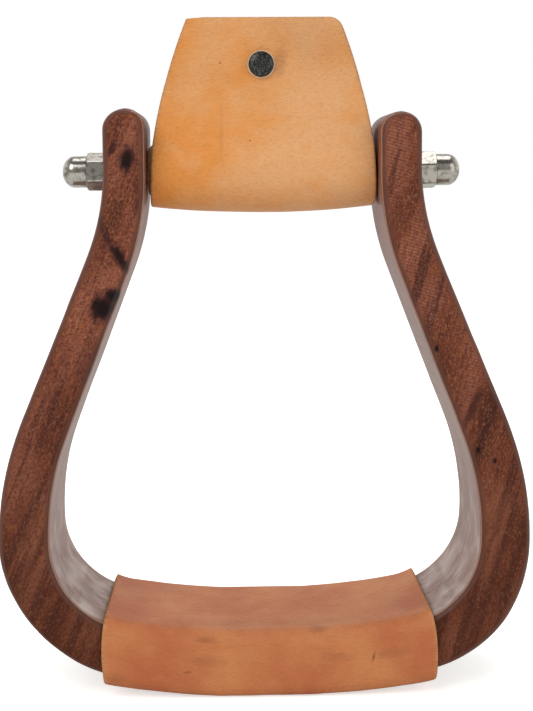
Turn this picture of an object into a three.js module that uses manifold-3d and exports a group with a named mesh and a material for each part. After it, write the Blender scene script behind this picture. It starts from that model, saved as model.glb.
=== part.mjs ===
// Wooden western stirrup.
// Two sawn wooden sides and a curved tread bar make the frame. Slip joints with dowels hold them
// together inside a leather tread wrap. A threaded rod with two cap nuts crosses the neck, and a
// wooden roller and a folded, riveted neck leather turn on it.
// Millimetres, +Z up, +X to the right, front at -Y. The origin is the middle of the neck rod.
import * as THREE from 'three';
import { mergeVertices } from 'three/addons/utils/BufferGeometryUtils.js';
import Module from 'manifold-3d';

const wasm = await Module();
wasm.setup();

// Wooden frame, seen from the front
const NECK_GAP = 76.2; // between the two sides at the rod
const INSIDE_WIDTH = 142.6; // widest foot room
const ROD_TO_TREAD = 154.6; // rod axis down to the wood at the middle of the tread
const NECK_THICKNESS = 13.5; // side, across the limb at the neck
const TREAD_THICKNESS = 17; // side and tread bar from the widest point down
const FLARE_ANGLE = 22; // degrees that the limb leans outward
const NECK_BEND_RADIUS = 83;
const BELLY_BEND_RADIUS = 101;
const CORNER_RADIUS = 37.8;
const TREAD_DISH_RADIUS = 285;
const LEFT_TOP_HEIGHT = 20.2; // each side is sawn by hand, so the tops differ
const RIGHT_TOP_HEIGHT = 18.8;

// Wooden frame, front to back
const NECK_DEPTH = 38.6; // at the top of the neck
const TREAD_DEPTH = 50.8; // at the tread
const EDGE_ROUND = 2.5;

// Slip joints between the sides and the tread bar
const CHEEK_END_X = 24;
const TONGUE_END_X = 46;
const TONGUE_DEPTH = 17;
const DOWEL_DIAMETER = 6;
const DOWEL_INNER_X = 30.5;
const DOWEL_OUTER_X = 39.5;
const DOWEL_RECESS = 0.4; // each end lies this far inside the wood's face

// Tread leather
const TREAD_LEATHER = 2.8; // thickness
const TREAD_LEATHER_HALF = 54.5; // half length along the tread, at mid height
const TREAD_LEATHER_SHIFT = 1.2; // wrapped this far to the right of the middle
const TREAD_FLAT_HALF = 15; // half length of the worn, flat stretch in the middle
const TREAD_END_LEAN = 6; // degrees that the cut ends lean outward at the bottom
const SEAM_WIDTH = 1.2;
const SEAM_FROM_BACK = 14.4; // from the back of the wood at the tread
const TACKS_PER_ROW = 7;
const TACK_PITCH = 14;
const TACK_ROW_OFFSET = 6; // from the seam to each row
const TACK_HEAD_DIAMETER = 5;
const TACK_HEAD_THICKNESS = 0.7;
const TACK_HEAD_RECESS = 0.15; // each head is driven this far below the leather's face
const TACK_SHANK_DIAMETER = 1.6;
const TACK_LENGTH = 8;
const TACK_POINT_LENGTH = 2;

// Neck rod, cap nuts and roller
const ROD_DIAMETER = 6.35;
const ROD_IN_NUT = 7.5;
const NUT_ACROSS_FLATS = 11.1;
const NUT_HEX_HEIGHT = 6.4;
const NUT_HEIGHT = 14.4;
const NUT_DOME_DIAMETER = 10.4;
const NUT_DOME_RISE = 4; // its end is blunter than a ball
const NUT_FACE_INSET = 0.28; // the round face left by the chamfer lies this far inside the flats
const NUT_CHAMFER_ANGLE = 30; // degrees
const NUT_BORE_DEPTH = 9.5;
const LEFT_NUT_TURN = 0; // degrees round the rod
const RIGHT_NUT_TURN = 15;
const ROLLER_DIAMETER = 21.3; // at its middle, it is turned as a barrel
const ROLLER_END_DIAMETER = 16.9;
const ROLLER_EDGE_ROUND = 1;

// Neck leather, one strip folded round the roller
const NECK_LEATHER = 2.8; // thickness
const NECK_LEATHER_TOP = 50.2; // top edge above the rod
const NECK_LEATHER_TOP_WIDTH = 49.6;
const NECK_LEATHER_FOLD_WIDTH = 74.6;
const NECK_LEATHER_SHOULDER_Z = 8; // the sides draw in above this height
const NECK_LEATHER_SHOULDER_IN = 1; // each side has drawn in this much at the shoulder
const NECK_LEATHER_SIDE_BOW = 1.3; // how far the slanting sides bulge
const NECK_LEATHER_CORNER_ROUND = 3; // top right corner, the left one is cut sharp
const PLY_SPREAD_ANGLE = 24; // degrees that each ply leans where it opens round the roller
const PLY_PARTING_RADIUS = 15;

// Rivet through both plies
const RIVET_HEIGHT = 34.9;
const RIVET_CAP_DIAMETER = 8.4;
const RIVET_CAP_HEIGHT = 1.6;
const RIVET_RIM_HEIGHT = 0.5; // the upright rim below each cap's dome
const RIVET_BACK_CAP_HEIGHT = 1.4;
const RIVET_POST_DIAMETER = 3.2;
const RIVET_POST_IN_CAP = 0.6;

// Clearances
const SEAT_GAP = 0.3; // between pieces that bear on one another
const RUNNING_GAP = 0.35; // between pieces that turn
const BORE_CLEARANCE = 0.6; // on the diameter of a hole over its rod, pin or shank

// Facets
const ARC_STEP = 4; // degrees
const ROLL_STEP = 9; // degrees, for the tight fold round the roller
const BARREL_STEPS = 6; // along the roller and the fold
const BEVEL_STEPS = 4;
const CROWN_STEPS = 12; // round top of each side
const WRAP_STEPS = 8; // along each curved end of the tread leather
const WRAP_CORNER_STEPS = 4;
const OUTLINE_STEPS = 8; // along each slanting side of the neck leather
const NUT_DOME_STEPS = 9;
const RIVET_DOME_STEPS = 5;
const PIN_SIDES = 16;
const TACK_SIDES = 10;
const NUT_SIDES = 36;
const ROLLER_SIDES = 32;
const RIVET_SIDES = 24;

// Cutting tools
const FAR = 400; // reaches past the whole frame
const WELD_DISTANCE = 1e-4; // vertices this close are one

const radians = THREE.MathUtils.degToRad;

// Paths of straight lines and arcs

// Walks a path of lines and arcs. Each station holds the point, the direction and the length so far.
function walkPath(start, headingAngle, pieces, arcStep = ARC_STEP) {
  const stations = [];
  let point = start.clone();
  let heading = headingAngle;
  let length = 0;
  const note = () => stations.push({ point: point.clone(), heading, length });
  note();
  for (const piece of pieces) {
    const steps = piece.turn ? Math.max(1, Math.ceil(Math.abs(piece.turn) / radians(arcStep))) : 1;
    for (let i = 0; i < steps; i += 1) {
      const turn = (piece.turn ?? 0) / steps;
      const run = piece.turn ? 2 * piece.radius * Math.sin(Math.abs(turn) / 2) : piece.line;
      const along = heading + turn / 2;
      point = point.clone().add(new THREE.Vector2(Math.cos(along), Math.sin(along)).multiplyScalar(run));
      heading += turn;
      length += piece.turn ? piece.radius * Math.abs(turn) : run;
      note();
    }
  }
  return stations;
}

// A point beside a station, to the left of the way that the path runs
function beside(station, distance) {
  const left = new THREE.Vector2(-Math.sin(station.heading), Math.cos(station.heading));
  return station.point.clone().addScaledVector(left, distance);
}

// Solids and boolean cuts

function toManifold(geometry) {
  const bare = geometry.clone();
  bare.deleteAttribute('normal');
  bare.deleteAttribute('uv');
  const welded = mergeVertices(bare, WELD_DISTANCE);
  return new wasm.Manifold(new wasm.Mesh({
    numProp: 3,
    vertProperties: new Float32Array(welded.attributes.position.array),
    triVerts: new Uint32Array(welded.index.array),
  }));
}

function toGeometry(manifold) {
  const mesh = manifold.getMesh();
  const geometry = new THREE.BufferGeometry();
  geometry.setAttribute('position', new THREE.BufferAttribute(new Float32Array(mesh.vertProperties), 3));
  geometry.setIndex(new THREE.BufferAttribute(new Uint32Array(mesh.triVerts), 1));
  return geometry;
}

function boxSolid(low, high) {
  const geometry = new THREE.BoxGeometry(high[0] - low[0], high[1] - low[1], high[2] - low[2]);
  geometry.translate((low[0] + high[0]) / 2, (low[1] + high[1]) / 2, (low[2] + high[2]) / 2);
  return toManifold(geometry);
}

// A round bar along an axis ('x', 'y' or 'z'), centred on a point
function roundBar(diameter, length, axis, centre) {
  const geometry = new THREE.CylinderGeometry(diameter / 2, diameter / 2, length, PIN_SIDES);
  if (axis === 'x') geometry.rotateZ(-Math.PI / 2);
  if (axis === 'z') geometry.rotateX(Math.PI / 2);
  geometry.translate(...centre);
  return geometry;
}

// A solid of revolution about X from points (distance along X, radius)
function turned(profile, sides) {
  const points = profile.map(([along, radius]) => new THREE.Vector2(radius, along));
  return new THREE.LatheGeometry(points, sides).rotateZ(-Math.PI / 2);
}

// A loft through closed rings of points, each with the same count, with flat ends
function loft(rings, endOutline) {
  const count = rings[0].length;
  const positions = rings.flat().flatMap((p) => [p.x, p.y, p.z]);
  const index = [];
  for (let r = 0; r < rings.length - 1; r += 1) {
    for (let i = 0; i < count; i += 1) {
      const a = r * count + i;
      const b = r * count + ((i + 1) % count);
      index.push(a, b, b + count, a, b + count, a + count);
    }
  }
  const last = (rings.length - 1) * count;
  for (const [a, b, c] of THREE.ShapeUtils.triangulateShape(endOutline, [])) {
    index.push(a, c, b, last + a, last + b, last + c);
  }
  const geometry = new THREE.BufferGeometry();
  geometry.setAttribute('position', new THREE.Float32BufferAttribute(positions, 3));
  geometry.setIndex(index);
  return geometry;
}

// The frame's curve

const neckX = (NECK_GAP + NECK_THICKNESS) / 2;
const widestX = (INSIDE_WIDTH + TREAD_THICKNESS) / 2;
const treadZ = -ROD_TO_TREAD - TREAD_THICKNESS / 2;
const flare = radians(FLARE_ANGLE);

// Height of the widest point, from the corner arc that runs smoothly into the tread's dish
const cornerCentreX = widestX - CORNER_RADIUS;
const dishCentreZ = treadZ + TREAD_DISH_RADIUS;
const cornerCentreZ = dishCentreZ - Math.sqrt((TREAD_DISH_RADIUS - CORNER_RADIUS) ** 2 - cornerCentreX ** 2);
const dishTurn = Math.asin(cornerCentreX / (TREAD_DISH_RADIUS - CORNER_RADIUS));

// Straight run of the leaning limb, and the height where the neck starts to bend
const bendSideways = (NECK_BEND_RADIUS + BELLY_BEND_RADIUS) * (1 - Math.cos(flare));
const flareRun = (widestX - neckX - bendSideways) / Math.sin(flare);
const neckBendZ = cornerCentreZ + (NECK_BEND_RADIUS + BELLY_BEND_RADIUS) * Math.sin(flare)
  + flareRun * Math.cos(flare);

// The right limb's middle line, from a height on the neck down to the middle of the tread
function limbStations(startZ) {
  return walkPath(new THREE.Vector2(neckX, startZ), -Math.PI / 2, [
    { line: startZ - neckBendZ },
    { turn: flare, radius: NECK_BEND_RADIUS },
    { line: flareRun },
    { turn: -flare, radius: BELLY_BEND_RADIUS },
    { turn: -(Math.PI / 2 - dishTurn), radius: CORNER_RADIUS },
    { turn: -dishTurn, radius: TREAD_DISH_RADIUS },
  ]);
}

const neckToBelly = (NECK_BEND_RADIUS + BELLY_BEND_RADIUS) * flare + flareRun;

// Half the wood's thickness, growing from the neck bend to the widest point
function halfThickness(station, startZ) {
  const share = THREE.MathUtils.clamp((station.length - (startZ - neckBendZ)) / neckToBelly, 0, 1);
  return THREE.MathUtils.lerp(NECK_THICKNESS, TREAD_THICKNESS, share) / 2;
}

// Outer and inner edges of one limb, with the round top, from the tread's middle up and over
function limbOutline(topHeight, side) {
  const startZ = topHeight - NECK_THICKNESS / 2;
  const stations = limbStations(startZ);
  const outer = stations.map((s) => beside(s, halfThickness(s, startZ)));
  const inner = stations.map((s) => beside(s, -halfThickness(s, startZ)));
  const crown = [];
  for (let i = 1; i < CROWN_STEPS; i += 1) {
    const angle = (Math.PI * i) / CROWN_STEPS;
    crown.push(new THREE.Vector2(
      neckX + Math.cos(angle) * NECK_THICKNESS / 2,
      startZ + Math.sin(angle) * NECK_THICKNESS / 2,
    ));
  }
  const outline = [...outer.reverse(), ...crown, ...inner];
  return outline.map((p) => new THREE.Vector2(p.x * side, p.y));
}

// Front-to-back depth of the wood at a height, tapered all the way down
function woodDepth(z) {
  const lowest = treadZ - TREAD_THICKNESS / 2;
  const share = (RIGHT_TOP_HEIGHT - z) / (RIGHT_TOP_HEIGHT - lowest);
  return THREE.MathUtils.lerp(NECK_DEPTH, TREAD_DEPTH, share);
}

// The whole frame as one rounded blank, which the joints then divide
function frameBlank() {
  const right = limbOutline(RIGHT_TOP_HEIGHT, 1);
  const left = limbOutline(LEFT_TOP_HEIGHT, -1).reverse();
  const shape = new THREE.Shape([...right.slice(0, -1), ...left.slice(0, -1)]);
  const geometry = new THREE.ExtrudeGeometry(shape, {
    depth: TREAD_DEPTH - 2 * EDGE_ROUND,
    bevelEnabled: true,
    bevelSize: EDGE_ROUND,
    bevelThickness: EDGE_ROUND,
    bevelOffset: -EDGE_ROUND,
    bevelSegments: BEVEL_STEPS,
  });
  geometry.rotateX(Math.PI / 2);
  geometry.translate(0, TREAD_DEPTH / 2 - EDGE_ROUND, 0);
  const position = geometry.attributes.position;
  for (let i = 0; i < position.count; i += 1) {
    const inward = (TREAD_DEPTH - woodDepth(position.getZ(i))) / 2;
    position.setY(i, position.getY(i) - Math.sign(position.getY(i)) * inward);
  }
  return toManifold(geometry);
}

// Holes and slots in the wood

const dowelXs = [DOWEL_INNER_X, DOWEL_OUTER_X];

// Height and lean of the frame's middle line at x, in the tread's dish or in the corner beyond it
function treadLine(x) {
  if (Math.abs(x) < TREAD_DISH_RADIUS * Math.sin(dishTurn)) {
    const lean = Math.asin(x / TREAD_DISH_RADIUS);
    return { lean, z: dishCentreZ - TREAD_DISH_RADIUS * Math.cos(lean) };
  }
  const turn = Math.asin((Math.abs(x) - cornerCentreX) / CORNER_RADIUS);
  return { lean: Math.sign(x) * turn, z: cornerCentreZ - CORNER_RADIUS * Math.cos(turn) };
}

// The slip joints and the bar between them lie below this height
const jointTopZ = treadLine(TONGUE_END_X).z + TREAD_THICKNESS;

function dowelHole(x) {
  return toManifold(roundBar(DOWEL_DIAMETER + BORE_CLEARANCE, FAR, 'y', [x, 0, treadLine(x).z]));
}

function rodHole() {
  return toManifold(roundBar(ROD_DIAMETER + BORE_CLEARANCE, FAR, 'x', [0, 0, 0]));
}

const seamY = TREAD_DEPTH / 2 - SEAM_FROM_BACK;

function tackPlaces() {
  const rows = [['front', seamY - TACK_ROW_OFFSET], ['rear', seamY + TACK_ROW_OFFSET]];
  return rows.flatMap(([row, y]) => Array.from({ length: TACKS_PER_ROW }, (_, i) => ({
    name: `${row}_tack_${i + 1}`,
    x: (i - (TACKS_PER_ROW - 1) / 2) * TACK_PITCH,
    y,
  })));
}

// Distance from the tread's dish line out to the underside of the leather
const leatherOuter = TREAD_THICKNESS / 2 + SEAT_GAP + TREAD_LEATHER;
const flatLean = Math.asin(TREAD_FLAT_HALF / TREAD_DISH_RADIUS);

// How far the leather's underside leans at x, and its height there, straight across the flat middle
function undersideLean(x) {
  return Math.asin(x / (TREAD_DISH_RADIUS + leatherOuter));
}

function undersideAt(x) {
  const lean = Math.max(Math.abs(undersideLean(x)), flatLean);
  return dishCentreZ - (TREAD_DISH_RADIUS + leatherOuter) * Math.cos(lean);
}

function tackLean(x) {
  return Math.abs(undersideLean(x)) > flatLean ? undersideLean(x) : 0;
}

// One tack, or the open hole that it needs, pointing up from the leather's underside
function tackSolid(place, clearance) {
  const headRadius = (TACK_HEAD_DIAMETER + clearance) / 2;
  const shankRadius = (TACK_SHANK_DIAMETER + clearance) / 2;
  const headBottom = clearance ? -TREAD_LEATHER : TACK_HEAD_RECESS;
  const headTop = TACK_HEAD_RECESS + TACK_HEAD_THICKNESS + clearance / 2;
  const tip = TACK_LENGTH + clearance / 2;
  return turned([
    [headBottom, 0],
    [headBottom, headRadius],
    [headTop, headRadius],
    [headTop, shankRadius],
    [tip - TACK_POINT_LENGTH, shankRadius],
    [tip, 0],
  ], TACK_SIDES)
    .rotateY(-Math.PI / 2)
    .rotateY(-tackLean(place.x))
    .translate(place.x, place.y, undersideAt(place.x));
}

// Wooden pieces

function sideSolid(blank, side) {
  const half = side > 0
    ? boxSolid([CHEEK_END_X, -FAR, -FAR], [FAR, FAR, FAR])
    : boxSolid([-FAR, -FAR, -FAR], [-CHEEK_END_X, FAR, FAR]);
  const slotHalf = TONGUE_DEPTH / 2;
  const slotEnd = TONGUE_END_X * side;
  const slot = boxSolid(
    [Math.min(slotEnd, 0), -slotHalf, -FAR],
    [Math.max(slotEnd, 0), slotHalf, jointTopZ],
  );
  let solid = blank.intersect(half).subtract(slot).subtract(rodHole());
  for (const x of dowelXs) solid = solid.subtract(dowelHole(x * side));
  return solid;
}

function treadBarSolid(blank) {
  const bodyHalf = CHEEK_END_X - SEAT_GAP;
  const tongueHalf = TONGUE_END_X - SEAT_GAP;
  const tongueY = TONGUE_DEPTH / 2 - SEAT_GAP;
  // planed flat underneath, where the leather is worn flat
  const planedZ = undersideAt(0) + TREAD_LEATHER + SEAT_GAP;
  const body = boxSolid([-bodyHalf, -FAR, planedZ], [bodyHalf, FAR, jointTopZ]);
  const tongue = boxSolid([-tongueHalf, -tongueY, planedZ], [tongueHalf, tongueY, jointTopZ]);
  let solid = blank.intersect(body.add(tongue));
  for (const x of dowelXs) {
    solid = solid.subtract(dowelHole(x)).subtract(dowelHole(-x));
  }
  return solid;
}

function cutTackHoles(solid) {
  let rest = solid;
  for (const place of tackPlaces()) {
    rest = rest.subtract(toManifold(tackSolid(place, BORE_CLEARANCE)));
  }
  return rest;
}

function dowelGeometry(x) {
  const length = woodDepth(treadLine(x).z) - 2 * DOWEL_RECESS;
  return roundBar(DOWEL_DIAMETER, length, 'y', [x, 0, treadLine(x).z]);
}

// Tread leather

// A rounded rectangle, walked from one lip of the seam in its bottom side round to the other
function wrapOutline(halfDepth, halfHeight, corner, gapFrom, gapTo) {
  const points = [new THREE.Vector2(gapTo, -halfHeight)];
  const corners = [[1, -1, -90], [1, 1, 0], [-1, 1, 90], [-1, -1, 180]];
  for (const [sx, sy, startDegrees] of corners) {
    for (let i = 0; i <= WRAP_CORNER_STEPS; i += 1) {
      const angle = radians(startDegrees + (90 * i) / WRAP_CORNER_STEPS);
      points.push(new THREE.Vector2(
        sx * (halfDepth - corner) + Math.cos(angle) * corner,
        sy * (halfHeight - corner) + Math.sin(angle) * corner,
      ));
    }
  }
  points.push(new THREE.Vector2(gapFrom, -halfHeight));
  return points;
}

// The wrap's section at a depth of wood, as (front to back, up) points
function leatherSection(depth) {
  const gapFrom = seamY - SEAM_WIDTH / 2;
  const gapTo = seamY + SEAM_WIDTH / 2;
  const innerHalf = TREAD_THICKNESS / 2 + SEAT_GAP;
  const inner = wrapOutline(depth / 2 + SEAT_GAP, innerHalf, EDGE_ROUND, gapFrom, gapTo);
  const outer = wrapOutline(
    depth / 2 + SEAT_GAP + TREAD_LEATHER,
    innerHalf + TREAD_LEATHER,
    EDGE_ROUND + TREAD_LEATHER,
    gapFrom,
    gapTo,
  );
  return [...outer, ...inner.reverse()];
}

function treadLeatherSolid() {
  const leftEnd = TREAD_LEATHER_SHIFT - TREAD_LEATHER_HALF;
  const rightEnd = TREAD_LEATHER_SHIFT + TREAD_LEATHER_HALF;
  const stretches = [[leftEnd, -TREAD_FLAT_HALF], [TREAD_FLAT_HALF, rightEnd]];
  const places = stretches.flatMap(([from, to]) => Array.from(
    { length: WRAP_STEPS + 1 },
    (_, i) => THREE.MathUtils.lerp(from, to, i / WRAP_STEPS),
  ));
  const rings = places.map((x) => {
    const { z, lean } = treadLine(x);
    const up = new THREE.Vector3(-Math.sin(lean), 0, Math.cos(lean));
    const along = new THREE.Vector3(Math.cos(lean), 0, Math.sin(lean));
    // the cut ends stand steeper than the curve, so they are sheared along it
    const atEnd = x === leftEnd || x === rightEnd;
    const shear = atEnd ? Math.tan(lean - Math.sign(x) * radians(TREAD_END_LEAN)) : 0;
    const section = leatherSection(woodDepth(z - TREAD_THICKNESS / 2));
    return section.map((p) => new THREE.Vector3(x, p.x, z)
      .addScaledVector(up, p.y)
      .addScaledVector(along, shear * p.y));
  });
  return toManifold(loft(rings, leatherSection(TREAD_DEPTH)));
}

// Neck rod, roller and cap nuts

// The nut bears where the side's outer face, bending outward below the rod, stands proudest
function nutSeatX() {
  const reach = NUT_ACROSS_FLATS / Math.sqrt(3);
  const faceX = neckX + NECK_THICKNESS / 2;
  const below = Math.max(0, neckBendZ + reach);
  const bulge = NECK_BEND_RADIUS - Math.sqrt(NECK_BEND_RADIUS ** 2 - below ** 2);
  const growth = (TREAD_THICKNESS - NECK_THICKNESS) * (below / neckToBelly) / 2;
  return faceX + bulge + growth + SEAT_GAP / 2;
}

// A cap nut along +X with its seat at x = 0: a chamfered hexagon, a dome and a blind bore
function capNutGeometry() {
  const corner = NUT_ACROSS_FLATS / Math.sqrt(3);
  const hexagon = new THREE.CylinderGeometry(corner, corner, NUT_HEX_HEIGHT, 6)
    .rotateZ(-Math.PI / 2)
    .translate(NUT_HEX_HEIGHT / 2, 0, 0);
  const faceRadius = NUT_ACROSS_FLATS / 2 - NUT_FACE_INSET;
  const chamferRun = (corner - faceRadius) * Math.tan(radians(NUT_CHAMFER_ANGLE));
  const chamfered = turned([
    [0, 0],
    [0, faceRadius],
    [chamferRun, corner],
    [NUT_HEX_HEIGHT - chamferRun, corner],
    [NUT_HEX_HEIGHT, faceRadius],
    [NUT_HEX_HEIGHT, 0],
  ], NUT_SIDES);
  const domeRadius = NUT_DOME_DIAMETER / 2;
  const domeRoot = NUT_HEX_HEIGHT / 2;
  const domeStart = NUT_HEIGHT - NUT_DOME_RISE;
  const dome = [[domeRoot, 0], [domeRoot, domeRadius]];
  for (let i = 0; i < NUT_DOME_STEPS; i += 1) {
    const angle = (Math.PI / 2) * (i / NUT_DOME_STEPS);
    dome.push([domeStart + NUT_DOME_RISE * Math.sin(angle), domeRadius * Math.cos(angle)]);
  }
  dome.push([NUT_HEIGHT, 0]);
  // centred on the seat, so that half of its length lies inside the nut
  const bore = roundBar(ROD_DIAMETER + BORE_CLEARANCE, 2 * NUT_BORE_DEPTH, 'x', [0, 0, 0]);
  const hexSolid = toManifold(hexagon).intersect(toManifold(chamfered));
  return toGeometry(hexSolid.add(toManifold(turned(dome, NUT_SIDES))).subtract(toManifold(bore)));
}

// Radius of the barrel-shaped roller at x
function rollerRadius(x) {
  const share = (x / (NECK_GAP / 2)) ** 2;
  return THREE.MathUtils.lerp(ROLLER_DIAMETER, ROLLER_END_DIAMETER, share) / 2;
}

// Evenly spaced places from one end of a barrel shape to the other
function barrelPlaces(half) {
  return Array.from({ length: BARREL_STEPS + 1 }, (_, i) => half * ((2 * i) / BARREL_STEPS - 1));
}

function rollerGeometry() {
  const end = NECK_GAP / 2 - RUNNING_GAP;
  const bore = (ROD_DIAMETER + BORE_CLEARANCE) / 2;
  const endRadius = rollerRadius(end) - ROLLER_EDGE_ROUND;
  return turned([
    [-end, bore],
    [-end, endRadius],
    ...barrelPlaces(end - ROLLER_EDGE_ROUND).map((x) => [x, rollerRadius(x)]),
    [end, endRadius],
    [end, bore],
    [-end, bore],
  ], ROLLER_SIDES);
}

// Neck leather

// Half the distance between the middles of the two plies where they lie together
const plyY = (NECK_LEATHER + SEAT_GAP) / 2;

// The strip's section at x, seen from the right: down the front ply, round the roller, up the back.
// Every section has the same count of points, because only the radius of the fold changes.
function neckLeatherSection(x) {
  const spread = radians(PLY_SPREAD_ANGLE);
  const rollRadius = rollerRadius(x) + RUNNING_GAP + NECK_LEATHER / 2;
  const partingY = PLY_PARTING_RADIUS * (1 - Math.cos(spread));
  const openRun = (rollRadius * Math.cos(spread) - plyY - partingY) / Math.sin(spread);
  const partingZ = (rollRadius + PLY_PARTING_RADIUS) * Math.sin(spread) + openRun * Math.cos(spread);
  const flatRun = NECK_LEATHER_TOP - partingZ;
  const stations = walkPath(new THREE.Vector2(-plyY, NECK_LEATHER_TOP), -Math.PI / 2, [
    { line: flatRun },
    { turn: -spread, radius: PLY_PARTING_RADIUS },
    { line: openRun },
    { turn: Math.PI + 2 * spread, radius: rollRadius },
    { line: openRun },
    { turn: -spread, radius: PLY_PARTING_RADIUS },
    { line: flatRun },
  ], ROLL_STEP);
  const outside = stations.map((s) => beside(s, -NECK_LEATHER / 2));
  const inside = stations.map((s) => beside(s, NECK_LEATHER / 2));
  return [...outside, ...inside.reverse()];
}

// The strip's outline from the front, alike on both plies, left open past its fold and top edge
function neckLeatherOutline() {
  const foldHalf = NECK_LEATHER_FOLD_WIDTH / 2;
  const topHalf = NECK_LEATHER_TOP_WIDTH / 2;
  const roundedX = topHalf - NECK_LEATHER_CORNER_ROUND;
  const shoulderHalf = foldHalf - NECK_LEATHER_SHOULDER_IN;
  const bottom = -ROLLER_DIAMETER;
  const top = NECK_LEATHER_TOP + NECK_LEATHER;
  const middleX = (shoulderHalf + topHalf) / 2 + 2 * NECK_LEATHER_SIDE_BOW;
  const middleZ = (NECK_LEATHER_SHOULDER_Z + NECK_LEATHER_TOP) / 2;
  const shape = new THREE.Shape();
  shape.moveTo(-foldHalf, bottom);
  shape.lineTo(foldHalf, bottom);
  shape.lineTo(shoulderHalf, NECK_LEATHER_SHOULDER_Z);
  shape.quadraticCurveTo(middleX, middleZ, topHalf, NECK_LEATHER_TOP - NECK_LEATHER_CORNER_ROUND);
  shape.quadraticCurveTo(topHalf, NECK_LEATHER_TOP, roundedX, NECK_LEATHER_TOP);
  shape.lineTo(roundedX, top);
  shape.lineTo(-topHalf, top);
  shape.lineTo(-topHalf, NECK_LEATHER_TOP);
  shape.quadraticCurveTo(-middleX, middleZ, -shoulderHalf, NECK_LEATHER_SHOULDER_Z);
  return shape;
}

function neckLeatherGeometry() {
  const half = NECK_LEATHER_FOLD_WIDTH / 2;
  const rings = barrelPlaces(half).map(
    (x) => neckLeatherSection(x).map((p) => new THREE.Vector3(x, p.x, p.y)),
  );
  const folded = toManifold(loft(rings, neckLeatherSection(half)));
  const reach = ROLLER_DIAMETER * 2;
  const outline = new THREE.ExtrudeGeometry(neckLeatherOutline(), {
    depth: 2 * reach,
    bevelEnabled: false,
    curveSegments: OUTLINE_STEPS,
  }).rotateX(Math.PI / 2).translate(0, reach, 0);
  const hole = roundBar(RIVET_POST_DIAMETER + BORE_CLEARANCE, reach, 'y', [0, 0, RIVET_HEIGHT]);
  return toGeometry(folded.intersect(toManifold(outline)).subtract(toManifold(hole)));
}

// Rivet

const rivetSeatY = plyY + NECK_LEATHER / 2 + SEAT_GAP;

// Points of a shallow dome from its rim in to the axis, from a seat at 0
function domeProfile(radius, height) {
  const points = [];
  for (let i = 0; i < RIVET_DOME_STEPS; i += 1) {
    const angle = (Math.PI / 2) * (i / RIVET_DOME_STEPS);
    const rise = (height - RIVET_RIM_HEIGHT) * Math.sin(angle);
    points.push([RIVET_RIM_HEIGHT + rise, radius * Math.cos(angle)]);
  }
  return [[0, radius], ...points, [height, 0]];
}

function rivetFrontGeometry() {
  const postRadius = RIVET_POST_DIAMETER / 2;
  const postLength = 2 * rivetSeatY + RIVET_POST_IN_CAP;
  return turned([
    [-postLength, 0],
    [-postLength, postRadius],
    [0, postRadius],
    ...domeProfile(RIVET_CAP_DIAMETER / 2, RIVET_CAP_HEIGHT),
  ], RIVET_SIDES).rotateZ(-Math.PI / 2).translate(0, -rivetSeatY, RIVET_HEIGHT);
}

function rivetBackGeometry() {
  const boreRadius = (RIVET_POST_DIAMETER + BORE_CLEARANCE) / 2;
  const boreDepth = RIVET_POST_IN_CAP + SEAT_GAP;
  return turned([
    [boreDepth, 0],
    [boreDepth, boreRadius],
    [0, boreRadius],
    ...domeProfile(RIVET_CAP_DIAMETER / 2, RIVET_BACK_CAP_HEIGHT),
  ], RIVET_SIDES).rotateZ(Math.PI / 2).translate(0, rivetSeatY, RIVET_HEIGHT);
}

// Materials

const finish = (color, roughness, metalness) => new THREE.MeshStandardMaterial({
  color,
  roughness,
  metalness,
  flatShading: true,
});
const stainedWood = finish(0x75452f, 0.45, 0);
const plainWood = finish(0xb98f62, 0.7, 0);
const russetLeather = finish(0xd9965c, 0.6, 0);
const nickel = finish(0xb8b2a8, 0.25, 1);
const gunmetal = finish(0x3a3d3b, 0.4, 1);
const steel = finish(0x8d8d8a, 0.4, 1);

// Assembly

const object = new THREE.Group();

function addPiece(name, geometry, material) {
  const mesh = new THREE.Mesh(geometry, material);
  mesh.name = name;
  object.add(mesh);
  return mesh;
}

const blank = frameBlank();
addPiece('left_side', toGeometry(cutTackHoles(sideSolid(blank, -1))), stainedWood);
addPiece('right_side', toGeometry(cutTackHoles(sideSolid(blank, 1))), stainedWood);
addPiece('tread_bar', toGeometry(cutTackHoles(treadBarSolid(blank))), stainedWood);
addPiece('left_outer_dowel', dowelGeometry(-DOWEL_OUTER_X), plainWood);
addPiece('left_inner_dowel', dowelGeometry(-DOWEL_INNER_X), plainWood);
addPiece('right_inner_dowel', dowelGeometry(DOWEL_INNER_X), plainWood);
addPiece('right_outer_dowel', dowelGeometry(DOWEL_OUTER_X), plainWood);

addPiece('tread_leather', toGeometry(cutTackHoles(treadLeatherSolid())), russetLeather);
for (const place of tackPlaces()) addPiece(place.name, tackSolid(place, 0), steel);

const nutSeat = nutSeatX();
addPiece('neck_rod', roundBar(ROD_DIAMETER, 2 * (nutSeat + ROD_IN_NUT), 'x', [0, 0, 0]), nickel);
const rightNut = addPiece('right_cap_nut', capNutGeometry(), nickel);
rightNut.position.x = nutSeat;
rightNut.rotation.x = radians(RIGHT_NUT_TURN);
const leftNut = addPiece('left_cap_nut', capNutGeometry(), nickel);
leftNut.position.x = -nutSeat;
leftNut.rotation.set(radians(LEFT_NUT_TURN), Math.PI, 0);
addPiece('neck_roller', rollerGeometry(), plainWood);

addPiece('neck_leather', neckLeatherGeometry(), russetLeather);
addPiece('rivet_front', rivetFrontGeometry(), gunmetal);
addPiece('rivet_back_cap', rivetBackGeometry(), gunmetal);

export default object;
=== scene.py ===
import math
from types import SimpleNamespace

import bmesh
import bpy
import numpy as np
from bpy.props import FloatProperty, FloatVectorProperty, IntProperty, PointerProperty
from mathutils import Matrix, Vector, noise


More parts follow.
